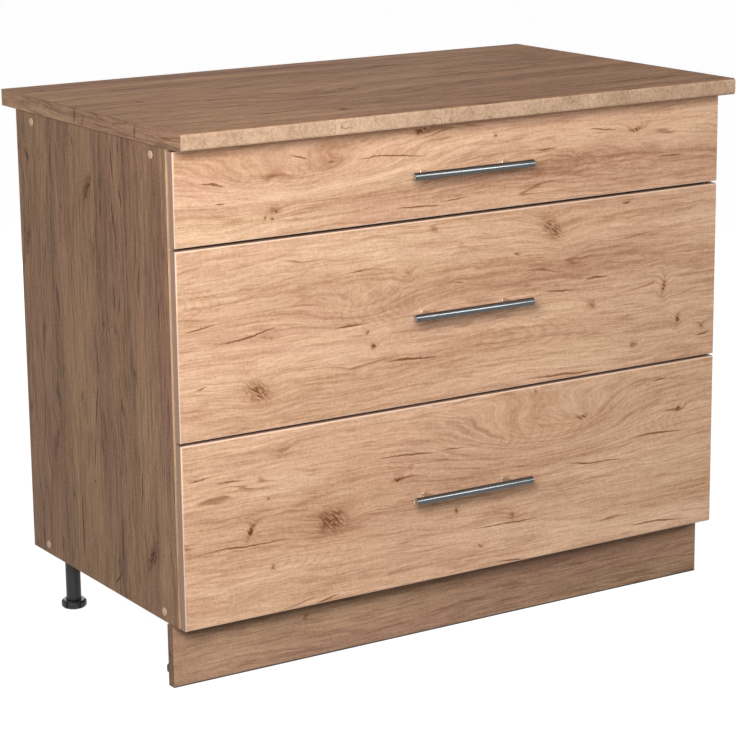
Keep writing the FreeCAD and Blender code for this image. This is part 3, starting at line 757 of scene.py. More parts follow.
def tidy_mesh(bm):
    bmesh.ops.remove_doubles(bm, verts=bm.verts, dist=MERGE_DISTANCE)
    bmesh.ops.recalc_face_normals(bm, faces=bm.faces)


def piece(name, bm, body, materials, nodes=(), sharp=40.0):
    """Makes an object of a mesh, and has it ride on a body in place of some nodes."""
    tidy_mesh(bm)
    mesh = bpy.data.meshes.new(name)
    bm.to_mesh(mesh)
    bm.free()
    for material in materials:
        mesh.materials.append(material)
    mesh.shade_smooth()
    mesh.set_sharp_from_angle(angle=math.radians(sharp))
    made = new_object(name, mesh)
    weighted = made.modifiers.new("even_faces", "WEIGHTED_NORMAL")
    weighted.keep_sharp = True
    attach(made, body)
    if nodes:
        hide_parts(*nodes)


def colour_faces(bm, index, test):
    bm.normal_update()
    for face in bm.faces:
        if test(face):
            face.material_index = index


def dress(node, *materials):
    """Gives a node that stays as it was built its finish."""
    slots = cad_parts[node].data.materials
    slots.clear()
    for material in materials:
        slots.append(material)


# Stage

def make_floor():
    bm = bmesh.new()
    bmesh.ops.create_grid(bm, x_segments=1, y_segments=1, size=FLOOR_SIZE / 2)
    mesh = bpy.data.meshes.new("floor")
    bm.to_mesh(mesh)
    bm.free()
    floor = new_object("floor", mesh)
    material = bpy.data.materials.new("pale_floor")
    material.use_nodes = True
    tree = material.node_tree
    tree.nodes.clear()
    seen = seen_directly(tree)
    lit = add(tree, "BsdfDiffuse", Color=(FLOOR_WHITE, FLOOR_WHITE, FLOOR_WHITE, 1.0)).outputs[0]
    glow = add(tree, "Emission", Strength=times(tree, seen, FLOOR_GLOW)).outputs[0]
    both = tree.nodes.new("ShaderNodeAddShader")
    tree.links.new(lit, both.inputs[0])
    tree.links.new(glow, both.inputs[1])
    clear = add(tree, "BsdfTransparent", Color=(1.0, 1.0, 1.0, 1.0)).outputs[0]
    sides = tree.nodes.new("ShaderNodeMixShader")
    tree.links.new(add(tree, "NewGeometry").outputs["Backfacing"], sides.inputs[0])
    tree.links.new(both.outputs[0], sides.inputs[1])
    tree.links.new(clear, sides.inputs[2])
    output = tree.nodes.new("ShaderNodeOutputMaterial")
    tree.links.new(sides.outputs[0], output.inputs["Surface"])
    mesh.materials.append(material)


def seen_directly(tree):
    """1 for what the camera sees, straight, in a reflection or through glass."""
    path = tree.nodes.new("ShaderNodeLightPath").outputs
    return largest(tree, [path["Is Camera Ray"], path["Is Glossy Ray"], path["Is Transmission Ray"]])


def make_sky():
    world = bpy.data.worlds.new("pale_sky")
    world.use_nodes = True
    tree = world.node_tree
    tree.nodes.clear()
    seen = seen_directly(tree)
    strength = times_plus(tree, seen, 1.0 - SOFT_LIGHT, SOFT_LIGHT)
    sky = add(tree, "Background", Color=(1.0, 1.0, 1.0, 1.0), Strength=strength).outputs[0]
    output = tree.nodes.new("ShaderNodeOutputWorld")
    tree.links.new(sky, output.inputs["Surface"])
    bpy.context.scene.world = world


# Drawer fronts

FRONT_ROUNDING = 0.003
ARRIS = 0.0004

# The knots and splits of the fronts, the left side and the worktop. They were
# picked by eye on enlarged crops of the photograph, and a scratch script moved
# the picked points to pixels of its 736 x 736 frame, as it did the corners of the
# faces that they are on. What has no pixel is in metres, along the grain and
# across it.

top_low, top_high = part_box("top_drawer_front")
bottom_low, bottom_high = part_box("bottom_drawer_front")
FRONTS = Face(
    ((174.0, 145.6), (top_low.x, top_high.z)), ((718.0, 86.0), (top_high.x, top_high.z)),
    ((177.8, 648.0), (bottom_low.x, bottom_low.z)), ((720.6, 525.0), (bottom_high.x, bottom_low.z)))

TOP_FRONT_KNOTS = (
    FRONTS.knot((275.4, 203.4), 0.020, 0.012, 0.6, push=0.9),
    FRONTS.knot((266.4, 211.4), 0.006, 0.005, 0.7),
    FRONTS.knot((272.7, 212.3), 0.006, 0.005, 0.7),
    FRONTS.knot((421.8, 123.0), 0.022, 0.008, 0.9, push=1.5),
    FRONTS.knot((334.3, 154.3), 0.014, 0.004, 0.8),
    FRONTS.knot((296.8, 212.3), 0.014, 0.006, 0.4),
    Knot(-0.300, 0.757, 0.210, 0.036, 0.0, push=1.3),
    Knot(0.330, 0.776, 0.030, 0.008, 0.8, -4, push=1.6),
    Knot(0.215, 0.741, 0.012, 0.010, 0.5, 60),
    Knot(0.060, 0.790, 0.006, 0.005, 0.7),
)
TOP_FRONT_CRACKS = (
    FRONTS.crack((350.4, 151.6), (434.3, 148.0), 0.0014),
    FRONTS.crack((289.6, 148.9), (312.9, 152.5)),
    FRONTS.crack((389.6, 203.4), (450.0, 195.0)),
    FRONTS.crack((214.6, 197.1), (227.1, 196.1)),
    FRONTS.crack((196.8, 177.5), (228.9, 178.4)),
    Crack((0.132, 0.762), (0.182, 0.760)),
    Crack((0.370, 0.727), (0.430, 0.727)),
    Crack((0.230, 0.785), (0.300, 0.778), 0.0012),
    Crack((-0.050, 0.701), (0.020, 0.700), 0.0012),
)
TOP_FRONT_ARCS = (
    FRONTS.arcs((284.3, 168.6), 0.250, 0.050, 14, 0.55, -3),
    Arcs(0.250, 0.735, 0.300, 0.060, 9, 0.8, 2),
)
MIDDLE_FRONT_KNOTS = (
    FRONTS.knot((255.7, 389.8), 0.052, 0.034, 0.62, -35, push=0.3),
    FRONTS.knot((408.4, 269.3), 0.018, 0.014, 0.45),
    FRONTS.knot((374.5, 341.6), 0.008, 0.010, 0.9, push=1.6),
    FRONTS.knot((367.3, 328.2), 0.005, 0.004, 0.8),
    FRONTS.knot((266.4, 333.6), 0.036, 0.010, 0.4),
    FRONTS.knot((362.9, 305.0), 0.100, 0.026, 0.0, push=1.1),
    FRONTS.knot((554.5, 220.9), 0.048, 0.028, 0.66, -38, push=0.4),
    FRONTS.knot((667.3, 280.0), 0.028, 0.008, 0.85, 78, push=1.2),
    FRONTS.knot((681.8, 312.7), 0.020, 0.008, 0.8, 78, push=1.2),
    FRONTS.knot((594.5, 300.0), 0.014, 0.012, 0.6),
    FRONTS.knot((637.3, 340.0), 0.014, 0.010, 0.6),
    FRONTS.knot((706.4, 320.0), 0.012, 0.010, 0.5),
    FRONTS.knot((518.2, 247.3), 0.010, 0.005, 0.6),
)
MIDDLE_FRONT_CRACKS = (
    FRONTS.crack((178.9, 331.8), (218.2, 321.1), 0.0018),
    FRONTS.crack((207.5, 343.4), (284.3, 322.9), 0.0018),
    FRONTS.crack((330.7, 325.5), (371.8, 317.5)),
    FRONTS.crack((378.9, 357.7), (450.0, 351.1), 0.0018),
    FRONTS.crack((191.4, 390.7), (205.7, 384.5)),
    FRONTS.crack((339.6, 267.5), (384.3, 263.0), 0.0010),
    FRONTS.crack((541.8, 287.3), (583.6, 281.8), 0.0018),
    FRONTS.crack((585.5, 272.7), (614.5, 268.5)),
    FRONTS.crack((621.8, 196.4), (634.5, 193.6)),
    FRONTS.crack((698.2, 328.5), (718.2, 324.2)),
    FRONTS.crack((521.8, 377.6), (609.1, 364.2), 0.0024),
    FRONTS.crack((454.5, 276.4), (467.3, 275.5)),
)
MIDDLE_FRONT_ARCS = (
    Arcs(-0.165, 0.548, 0.200, 0.070, 14, -0.5, 4),
    Arcs(-0.470, 0.590, 0.120, 0.050, 8, 0.7),
    Arcs(0.120, 0.470, 0.260, 0.070, 9, 0.7, -3),
)
BOTTOM_FRONT_KNOTS = (
    FRONTS.knot((330.7, 526.8), 0.060, 0.046, 0.66, push=0.25),
    FRONTS.knot((246.8, 538.4), 0.022, 0.007, 0.95, 62, push=1.2),
    FRONTS.knot((399.5, 481.2), 0.022, 0.008, 0.85),
    FRONTS.knot((265.5, 501.8), 0.005, 0.004, 0.9),
    FRONTS.knot((270.0, 575.9), 0.006, 0.005, 0.9),
    FRONTS.knot((280.7, 450.0), 0.014, 0.012, 0.45),
    Knot(0.150, 0.309, 0.170, 0.052, 0.0, push=1.35),
    FRONTS.knot((587.3, 415.5), 0.030, 0.007, 0.65, push=1.0),
    FRONTS.knot((683.6, 406.4), 0.016, 0.008, 0.95, push=1.2),
    FRONTS.knot((459.1, 515.5), 0.012, 0.008, 0.7, 60),
    FRONTS.knot((516.4, 520.0), 0.014, 0.012, 0.6),
    FRONTS.knot((483.6, 551.8), 0.016, 0.010, 0.5),
    FRONTS.knot((538.2, 390.0), 0.012, 0.012, 0.45),
)
BOTTOM_FRONT_CRACKS = (
    FRONTS.crack((178.9, 487.1), (207.5, 480.4), 0.0018),
    FRONTS.crack((207.5, 489.6), (243.2, 483.9), 0.0018),
    FRONTS.crack((183.4, 564.3), (295.0, 542.9), 0.0020),
    FRONTS.crack((366.4, 462.5), (450.0, 450.0), 0.0018),
    FRONTS.crack((440.0, 450.4), (470.9, 447.5)),
    FRONTS.crack((627.3, 438.5), (700.0, 426.7), 0.0016),
    FRONTS.crack((563.6, 464.9), (640.0, 459.1), 0.0018),
    FRONTS.crack((467.3, 536.7), (556.4, 520.0), 0.0018),
    FRONTS.crack((627.3, 531.3), (701.8, 521.3), 0.0018),
    FRONTS.crack((656.4, 377.3), (674.5, 372.7)),
    FRONTS.crack((665.5, 409.1), (694.5, 406.4)),
    FRONTS.crack((494.5, 572.2), (538.2, 563.6)),
    FRONTS.crack((309.3, 617.0), (341.4, 603.6)),
    FRONTS.crack((393.2, 480.4), (423.6, 477.7)),
)
BOTTOM_FRONT_ARCS = (
    Arcs(0.150, 0.309, 0.240, 0.075, 12, 0.8, 2),
    Arcs(0.385, 0.285, 0.120, 0.050, 8, -0.6),
    FRONTS.arcs((316.4, 560.7), 0.160, 0.060, 9, 0.7),
)


def make_drawer_front(drawer, knots, cracks, arcs, shift, back):
    name = drawer + "_drawer_front"
    low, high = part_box(name)
    bm = bmesh.new()
    verts = box(bm, low, high)
    bevel(bm, edges_of(verts, lambda p: near(p.y, low.y)), FRONT_ROUNDING, segments=5)
    bevel(bm, edges_of(bm.verts, lambda p: near(p.y, high.y)), ARRIS, segments=1)
    colour_faces(bm, 1, lambda face: face.normal.y > SQUARE_ON)
    # With a painted highlight on the rounded edges and painted shade on the sides.
    foil = oak(name + "_foil", ("X", "Z", "Y"), FRONT_OAK, shift, knots, cracks, arcs, painted_highlight=0.8)
    piece(name + "_board", bm, "drawer_" + drawer, [foil, back], [name])


def make_drawer_fronts(back):
    for drawer, knots, cracks, arcs, shift in (
            ("top", TOP_FRONT_KNOTS, TOP_FRONT_CRACKS, TOP_FRONT_ARCS, (3.3, 1.1, 0.0)),
            ("middle", MIDDLE_FRONT_KNOTS, MIDDLE_FRONT_CRACKS, MIDDLE_FRONT_ARCS, (7.1, 4.6, 0.0)),
            ("bottom", BOTTOM_FRONT_KNOTS, BOTTOM_FRONT_CRACKS, BOTTOM_FRONT_ARCS, (12.4, 8.2, 0.0))):
        make_drawer_front(drawer, knots, cracks, arcs, shift, back)


side_low, side_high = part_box("side_left")
SIDE = Face(
    ((168.1, 141.5), (side_high.z, side_low.y)), ((15.2, 97.5), (side_high.z, side_high.y)),
    ((171.6, 648.5), (side_low.z, side_low.y)), ((18.8, 553.7), (side_low.z, side_high.y)))
SIDE_KNOTS = (
    SIDE.long_knot((22.7, 139.5), (26.4, 148.6), 0.010, 0.80, push=0.8),
    SIDE.long_knot((24.9, 211.4), (21.8, 249.5), 0.020, 0.55),
    SIDE.long_knot((90.4, 166.8), (82.4, 191.4), 0.018, 0.75, push=0.4),
    SIDE.long_knot((57.6, 193.2), (59.5, 202.3), 0.008, 0.50),
    SIDE.long_knot((98.7, 315.9), (99.8, 322.3), 0.008, 0.85),
    SIDE.long_knot((131.5, 370.5), (130.9, 376.8), 0.008, 0.70),
    SIDE.long_knot((143.6, 163.2), (143.3, 170.5), 0.008, 0.45),
    SIDE.long_knot((109.1, 321.4), (114.5, 333.2), 0.010, 0.40),
    SIDE.long_knot((37.3, 313.2), (37.3, 329.5), 0.006, 0.75),
    SIDE.long_knot((150.6, 556.1), (140.4, 581.1), 0.022, 0.75, push=0.4),
    SIDE.long_knot((49.8, 421.0), (43.3, 463.6), 0.016, 0.50, push=0.8),
    SIDE.long_knot((63.3, 496.0), (64.0, 503.4), 0.007, 0.50),
    SIDE.long_knot((115.4, 399.8), (119.1, 419.2), 0.008, 0.70),
    SIDE.long_knot((86.2, 483.9), (86.2, 490.4), 0.006, 0.60),
)
SIDE_CRACKS = (
    SIDE.crack((109.6, 129.5), (114.0, 182.3), 0.0026),
    SIDE.crack((110.5, 185.9), (115.5, 240.5), 0.0036),
    SIDE.crack((119.1, 128.6), (118.7, 149.5), 0.0026),
    SIDE.crack((118.2, 175.0), (122.0, 204.1), 0.0026),
    SIDE.crack((110.4, 275.0), (111.8, 315.0), 0.0026),
    SIDE.crack((116.9, 287.7), (114.7, 315.0), 0.0024),
    SIDE.crack((50.4, 269.5), (54.0, 322.3), 0.0034),
    SIDE.crack((91.8, 329.5), (92.2, 380.1), 0.0024),
    SIDE.crack((99.1, 185.9), (98.7, 211.4), 0.0022),
    SIDE.crack((138.2, 251.4), (136.9, 305.9), 0.0020),
    SIDE.crack((159.1, 289.5), (158.2, 335.0), 0.0022),
    SIDE.crack((70.0, 118.6), (74.0, 142.3), 0.0024),
    SIDE.crack((36.4, 309.5), (37.3, 356.8), 0.0032),
    SIDE.crack((91.4, 376.6), (88.4, 434.0), 0.0032),
    SIDE.crack((88.4, 434.0), (86.2, 478.4), 0.0022),
    SIDE.crack((71.8, 478.4), (72.2, 580.1), 0.0032),
    SIDE.crack((75.1, 387.7), (74.7, 404.4), 0.0024),
    SIDE.crack((114.0, 519.1), (113.2, 585.7), 0.0026),
    SIDE.crack((113.2, 582.0), (103.4, 600.5), 0.0024),
    SIDE.crack((165.4, 380.3), (166.5, 459.9), 0.0020),
    SIDE.crack((135.8, 469.1), (135.4, 520.9), 0.0024),
    SIDE.crack((50.7, 539.4), (49.6, 569.0), 0.0028),
    SIDE.crack((29.4, 530.2), (28.9, 554.2), 0.0024),
    SIDE.crack((37.7, 371.1), (32.2, 463.6), 0.0020),
)
worktop_low, worktop_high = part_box("worktop")
TOP = Face(
    ((182.8, 127.5), (worktop_low.x, worktop_low.y)), ((734.4, 65.1), (worktop_high.x, worktop_low.y)),
    ((0.8, 74.1), (worktop_low.x, worktop_high.y)), ((515.5, 24.3), (worktop_high.x, worktop_high.y)))
TOP_KNOTS = (
    TOP.knot((140.7, 89.8), 0.014, 0.016, 0.80),
    TOP.knot((344.3, 98.8), 0.026, 0.018, 0.80),
    TOP.knot((39.6, 76.7), 0.040, 0.010, 0.70),
    TOP.knot((210.6, 88.2), 0.012, 0.012, 0.60),
    TOP.knot((535.3, 49.1), 0.018, 0.012, 0.60),
    TOP.knot((406.1, 74.8), 0.017, 0.010, 0.50),
    TOP.knot((461.6, 57.6), 0.040, 0.012, 0.70),
    TOP.knot((319.8, 81.1), 0.120, 0.050, 0.20, push=1.2),
)
TOP_CRACKS = (
    TOP.level_crack((217.1, 77.8), (261.9, 67.2), 0.0036),
    TOP.level_crack((212.4, 96.7), (250.1, 94.3), 0.0036),
    TOP.level_crack((252.5, 104.9), (280.8, 102.1), 0.0044),
    TOP.level_crack((429.7, 54.9), (469.8, 58.2), 0.0044),
    TOP.level_crack((460.4, 68.6), (469.8, 66.7), 0.0036),
    TOP.level_crack((613.8, 70.7), (642.1, 62.9), 0.0044),
    TOP.level_crack((366.0, 50.7), (396.7, 47.8), 0.0044),
    TOP.level_crack((266.6, 53.0), (290.2, 50.2), 0.0036),
    TOP.level_crack((278.4, 90.8), (335.1, 81.8), 0.0030),
)
END_CRACKS = (
    Crack((0.040, 0.818), (0.034, 0.848), 0.0030),
    Crack((0.012, 0.818), (0.008, 0.836), 0.0020),
    Crack((-0.162, 0.818), (-0.158, 0.848), 0.0034),
    Crack((-0.290, 0.838), (-0.225, 0.834), 0.0014),
)
PLINTH_END_CRACKS = (
    Crack((0.050, -0.226), (0.056, -0.208), 0.0024),
)


# Boards of the carcass

BAND_ARRIS = 0.0008  # rounding of a banded edge
BACK_GROOVE = 0.007
GROOVE_FRONT = 0.243
GROOVE_BACK = 0.2462
WORKTOP_ROUNDING = 0.005
WORKTOP_BAND = 0.75  # the edge's print starts where the rounding looks this far forwards
SEAL_ROUNDING = 0.0008
SEAL_GROOVE = 0.0006
SEAL_CUTS = (0.3, 0.5, 0.7)  # where its underside bends, as shares of its thickness


def make_side_panel(name, hand, decor, band, chipboard):
    """A panel with a groove for the back board, and a banded front edge."""
    low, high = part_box(name)
    outer = hand * max(abs(low.x), abs(high.x))
    inner = hand * min(abs(low.x), abs(high.x))
    groove = inner + hand * BACK_GROOVE
    outline = (
        (outer, low.y), (inner, low.y), (inner, GROOVE_FRONT), (groove, GROOVE_FRONT),
        (groove, GROOVE_BACK), (inner, GROOVE_BACK), (inner, high.y), (outer, high.y))
    bm = bmesh.new()
    drawn_out(bm, [(x, y, low.z) for x, y in outline], (0, 0, 1), high.z - low.z)
    at_front = edges_at(bm, lambda p: near(p.y, low.y) and not near(p.x, (low.x + high.x) / 2))
    bevel(bm, at_front, BAND_ARRIS, segments=3)
    at_ends = edges_at(bm, lambda p: near(p.x, outer) and (near(p.z, low.z) or near(p.z, high.z)))
    bevel(bm, at_ends, ARRIS, segments=2)
    colour_faces(bm, 1, lambda face: face.normal.y < -HALF_WAY)
    colour_faces(bm, 2, lambda face: abs(face.normal.z) > SQUARE_ON or face.normal.y > HALF_WAY)
    piece(name + "_board", bm, "cabinet", [decor, band, chipboard], [name])


def make_worktop(top, front, end, backing, chipboard):
    low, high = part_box("worktop")
    bm = bmesh.new()
    box(bm, low, high)
    at_front = edges_at(bm, lambda p: near(p.y, low.y) and near(p.x, 0))
    bevel(bm, at_front, WORKTOP_ROUNDING, segments=8)
    bevel(bm, edges_at(bm, lambda p: near(abs(p.x), high.x)), ARRIS, segments=2)
    colour_faces(bm, 1, lambda face: face.normal.y < -WORKTOP_BAND)
    colour_faces(bm, 2, lambda face: abs(face.normal.x) > SLANTING)
    colour_faces(bm, 3, lambda face: face.normal.z < -SQUARE_ON)
    colour_faces(bm, 4, lambda face: face.normal.y > SQUARE_ON)
    materials = [top, front, end, backing, chipboard]
    piece("worktop_slab", bm, "cabinet", materials, ["worktop"])


def make_plinth(decor, end, rubber):
    low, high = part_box("plinth_board")
    bm = bmesh.new()
    verts = box(bm, low, high)
    bevel(bm, edges_of(verts, lambda p: near(p.y, low.y)), BAND_ARRIS, segments=3)
    bevel(bm, edges_of(bm.verts, lambda p: near(p.y, high.y)), ARRIS, segments=1)
    colour_faces(bm, 1, lambda face: abs(face.normal.x) > SLANTING)
    piece("plinth_panel", bm, "plinth", [decor, end], ["plinth_board"])
    make_seal(rubber)


def make_seal(rubber):
    """The strip under the plinth board, with a shallow groove along its underside."""
    low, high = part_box("plinth_seal")
    bm = bmesh.new()
    verts = box(bm, low, high)
    bevel(bm, edges_of(verts, lambda p: near(p.z, low.z)), SEAL_ROUNDING, segments=3)
    for share in SEAL_CUTS:
        at = Vector((0, low.y + (high.y - low.y) * share, low.z))
        bmesh.ops.bisect_plane(bm, geom=everything(bm), plane_co=at, plane_no=(0, 1, 0))
    for vert in bm.verts:
        if near(vert.co.z, low.z) and near(vert.co.y, (low.y + high.y) / 2):
            vert.co.z += SEAL_GROOVE
    piece("plinth_seal_strip", bm, "plinth", [rubber], ["plinth_seal"])


# Handles

BAR_RADIUS = 0.006
BAR_CHAMFER = 0.0008
END_RIM = 0.0009  # width of the rim round the dished end of a bar
END_DISH = 0.0006
POST_RADIUS = 0.0045
POST_PLACE = 0.075
POST_GROOVE = (0.0009, 0.0012, 0.0018, 0.0021)  # where it starts, deepens, rises and ends
POST_GROOVE_DEPTH = 0.0004
POST_END = 0.6  # where a post ends inside the bar, as a share of the bar's radius
CHAMFER_BULGE = 0.3
BAR_SIDES = 48


def make_handle(drawer, painted_reflection_steel, bright):
    """A round bar with dished, polished ends, on two bright posts."""
    low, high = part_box(drawer + "_handle_bar")
    length = high.x - low.x
    middle = (low + high) / 2
    rim = BAR_RADIUS - BAR_CHAMFER
    dish = rim - END_RIM
    bulge = BAR_CHAMFER * CHAMFER_BULGE
    half_profile = [
        (END_DISH, 0.0), (END_DISH, dish - END_DISH), (0.0, dish), (0.0, rim),
        (bulge, BAR_RADIUS - bulge), (BAR_CHAMFER, BAR_RADIUS)]
    profile = half_profile + [(length - along, away) for along, away in reversed(half_profile)]
    bm = bmesh.new()
    turned_shape(bm, profile, (low.x, middle.y, middle.z), (1, 0, 0), BAR_SIDES)
    bmesh.ops.recalc_face_normals(bm, faces=bm.faces)
    colour_faces(bm, 1, lambda face: abs(face.normal.x) > HALF_WAY)
    piece(drawer + "_handle_rod", bm, "drawer_" + drawer, [painted_reflection_steel, bright],
          [drawer + "_handle_bar"], HANDLE_SHARP_ANGLE)
    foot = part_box(drawer + "_handle_posts")[1].y
    reach = foot - middle.y - BAR_RADIUS * POST_END
    start, deepens, rises, end = POST_GROOVE
    neck = POST_RADIUS - POST_GROOVE_DEPTH
    profile = [
        (0.0, 0.0), (0.0, POST_RADIUS), (start, POST_RADIUS), (deepens, neck), (rises, neck),
        (end, POST_RADIUS), (reach, POST_RADIUS), (reach, 0.0)]
    bm = bmesh.new()
    for hand in (-1, 1):
        turned_shape(bm, profile, (hand * POST_PLACE, foot, middle.z), (0, -1, 0), BAR_SIDES // 2)
    piece(drawer + "_handle_pillars", bm, "drawer_" + drawer, [bright],
          [drawer + "_handle_posts"], HANDLE_SHARP_ANGLE)


# Caps and pads

CAP_PLACES = [(hand, y, z) for hand in (-1, 1) for y in (-0.202, 0.198) for z in (0.115, 0.805)]
CAP_RADIUS = 0.0065
CAP_RISE = 0.0022
CAP_STEPS = 8  # from the top of a dome to its rim
CAP_SIDES = 28
CAP_SHARP_ANGLE = 60.0
HALF_WIDTH = 0.5  # of the carcass
PAD_RADIUS = 0.004
PAD_PLACE = 0.492
PAD_FROM_EDGE = 0.030
PAD_DOME = ((0.0, 1.0), (0.35, 1.0), (0.8, 0.72), (1.0, 0.35))  # shares of its depth and radius
PAD_SIDES = 20
PAD_SHARP_ANGLE = 30.0


def make_caps(beige):
    """Domed caps that lie on the side panels."""
    turns = [step / CAP_STEPS * math.pi / 2 for step in range(CAP_STEPS + 1)]
    dome = [(CAP_RISE * math.cos(turn), CAP_RADIUS * math.sin(turn)) for turn in turns]
    dome.append((0.0, 0.0))
    bm = bmesh.new()
    for hand, y, z in CAP_PLACES:
        turned_shape(bm, dome, (hand * HALF_WIDTH, y, z), (hand, 0, 0), CAP_SIDES)
    piece("cap_domes", bm, "cabinet", [beige], ["screw_caps"], CAP_SHARP_ANGLE)


def make_pads(clear):
    low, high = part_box("bumper_pads")
    depth = high.y - low.y
    dome = [(depth * along, PAD_RADIUS * away) for along, away in PAD_DOME]
    profile = [(0.0, 0.0)] + dome + [(depth, 0.0)]
    bm = bmesh.new()
    for drawer in DRAWERS:
        front_low, front_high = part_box(drawer + "_drawer_front")
        for z in (front_low.z + PAD_FROM_EDGE, front_high.z - PAD_FROM_EDGE):
            for hand in (-1, 1):
                turned_shape(bm, profile, (hand * PAD_PLACE, high.y, z), (0, -1, 0), PAD_SIDES)
    piece("pad_domes", bm, "cabinet", [clear], ["bumper_pads"], PAD_SHARP_ANGLE)


# Legs

FOOT_RADIUS = 0.0205
FOOT_HEIGHT = 0.013
FOOT_SLOPE = 0.003
FOOT_ROUNDING = 0.0004
SOLE_DISH = 0.0006
DISH_RADIUS = 0.0125
SOLE_RADIUS = 0.0135  # where the sole's flat rim starts
NOTCHES = 6
NOTCH_DEPTH = 0.003
NOTCH_HALF = 0.002
CUT_MARGIN = 0.001
TUBE_RADIUS = 0.0125
BORE_RADIUS = 0.0083
BORE_DEPTH = 0.055
SPINDLE_RADIUS = 0.008
SPINDLE_TOP = 0.063
SPINDLE_SINK = 0.001  # how far it starts inside the foot
THREAD_PITCH = 0.003
THREAD_DEPTH = 0.001
THREAD_CREST = 0.0004  # half the ridge's width at its crest
THREAD_BASE = 0.0011  # and at its base
THREAD_ROOT = 0.0004  # how far its base lies inside the core
THREAD_MARGIN = 0.002  # what it leaves free at each end
THREAD_STEPS = 24  # in one turn
CORE_RADIUS = SPINDLE_RADIUS - THREAD_DEPTH
BEAD_HEIGHT = 0.0030
BEAD_RISE = 0.0004
BEAD_ARRIS = 0.0006
LEG_PLATE_LOW = 0.103


def leg_places():
    """The axis of each leg, at the floor, with its foot's name."""
    places = []
    for name in FEET:
        low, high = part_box(name)
        middle = (low + high) / 2
        places.append((name, Vector((middle.x, middle.y, 0.0))))
    return places


def add_thread(bm, axis):
    """A trapezoid ridge that winds up the spindle."""
    start = axis + Vector((0, 0, FOOT_HEIGHT + THREAD_MARGIN))
    root = CORE_RADIUS - THREAD_ROOT
    corners = (
        (root, -THREAD_BASE), (SPINDLE_RADIUS, -THREAD_CREST), (SPINDLE_RADIUS, THREAD_CREST),
        (root, THREAD_BASE))
    verts = [bm.verts.new(start + Vector((away, 0, up))) for away, up in corners]
    face = bm.faces.new(verts)
    turns = int((SPINDLE_TOP - FOOT_HEIGHT - 2 * THREAD_MARGIN) / THREAD_PITCH)
    bmesh.ops.spin(
        bm, geom=[face] + face.edges[:] + verts, cent=start, axis=(0, 0, 1), angle=math.tau * turns,
        steps=THREAD_STEPS * turns, dvec=(0, 0, THREAD_PITCH / THREAD_STEPS), use_merge=False,
        use_duplicate=False)


def make_foot(name, axis, black):
    """A rim with grip notches, and a threaded spindle."""
    shoulder = FOOT_RADIUS - FOOT_SLOPE
    profile = [
        (SOLE_DISH, 0.0), (SOLE_DISH, DISH_RADIUS), (0.0, SOLE_RADIUS), (0.0, shoulder),
        (FOOT_SLOPE, FOOT_RADIUS), (FOOT_HEIGHT - FOOT_SLOPE, FOOT_RADIUS), (FOOT_HEIGHT, shoulder),
        (FOOT_HEIGHT, 0.0)]
    bm = bmesh.new()
    turned_shape(bm, profile, axis, (0, 0, 1), 72)
    cutter = bmesh.new()
    for step in range(NOTCHES):
        verts = box(cutter, (FOOT_RADIUS - NOTCH_DEPTH, -NOTCH_HALF, -CUT_MARGIN),
                    (FOOT_RADIUS + 2 * CUT_MARGIN, NOTCH_HALF, FOOT_HEIGHT + CUT_MARGIN))
        turn = Matrix.Rotation(math.tau / NOTCHES * (step + 0.5), 3, "Z")
        bmesh.ops.rotate(cutter, verts=verts, cent=(0, 0, 0), matrix=turn)
    bmesh.ops.translate(cutter, verts=cutter.verts, vec=axis)
    cut_away(bm, cutter)
    sharp = math.radians(SHARP_ANGLE)
    rims = [edge for edge in bm.edges if edge.is_manifold and edge.calc_face_angle() > sharp]
    bevel(bm, rims, FOOT_ROUNDING, segments=2)
    root = FOOT_HEIGHT - SPINDLE_SINK
    spindle = [(root, 0.0), (root, CORE_RADIUS), (SPINDLE_TOP, CORE_RADIUS), (SPINDLE_TOP, 0.0)]
    turned_shape(bm, spindle, axis, (0, 0, 1), 32)
    add_thread(bm, axis)
    for vert in bm.verts:
        vert.co.z = max(vert.co.z, 0.0)
    piece(name + "_moulding", bm, name, [black], [name], SHARP_ANGLE)


def make_tubes(black):
    """The legs' fixed tubes, with a bead at the lower end and the bore for the spindle."""
    shaft = TUBE_RADIUS - BEAD_RISE
    bead_top = FOOT_HEIGHT + BEAD_HEIGHT
    bore_top = FOOT_HEIGHT + BORE_DEPTH
    profile = [
        (FOOT_HEIGHT, BORE_RADIUS), (FOOT_HEIGHT, TUBE_RADIUS - BEAD_ARRIS),
        (FOOT_HEIGHT + BEAD_ARRIS, TUBE_RADIUS), (bead_top, TUBE_RADIUS), (bead_top + BEAD_RISE, shaft),
        (LEG_PLATE_LOW, shaft), (LEG_PLATE_LOW, 0.0), (bore_top, 0.0), (bore_top, BORE_RADIUS),
        (FOOT_HEIGHT, BORE_RADIUS)]
    bm = bmesh.new()
    for _, axis in leg_places():
        turned_shape(bm, profile, axis, (0, 0, 1), 40)
    piece("leg_tube_mouldings", bm, "cabinet", [black], ["leg_tubes"], SHARP_ANGLE)


RING_LOW = 0.085
RING_RADIUS = 0.0165
RING_BORE = 0.0126
PLATE_HALF = 0.026
PLATE_THICKNESS = 0.004
PLATE_CORNER = 0.005
PLATE_ARRIS = 0.0006
RING_ARRIS = 0.0010
RING_FLAT = 0.0003
RIB_HALF = 0.001
RIB_START = 0.004  # above the ring's lower end
RIB_CLEAR = 0.002  # from a rib's outer end to the plate's edge, and below the plate
SINK = 0.0005  # how far the ring and the ribs reach into what they stand on


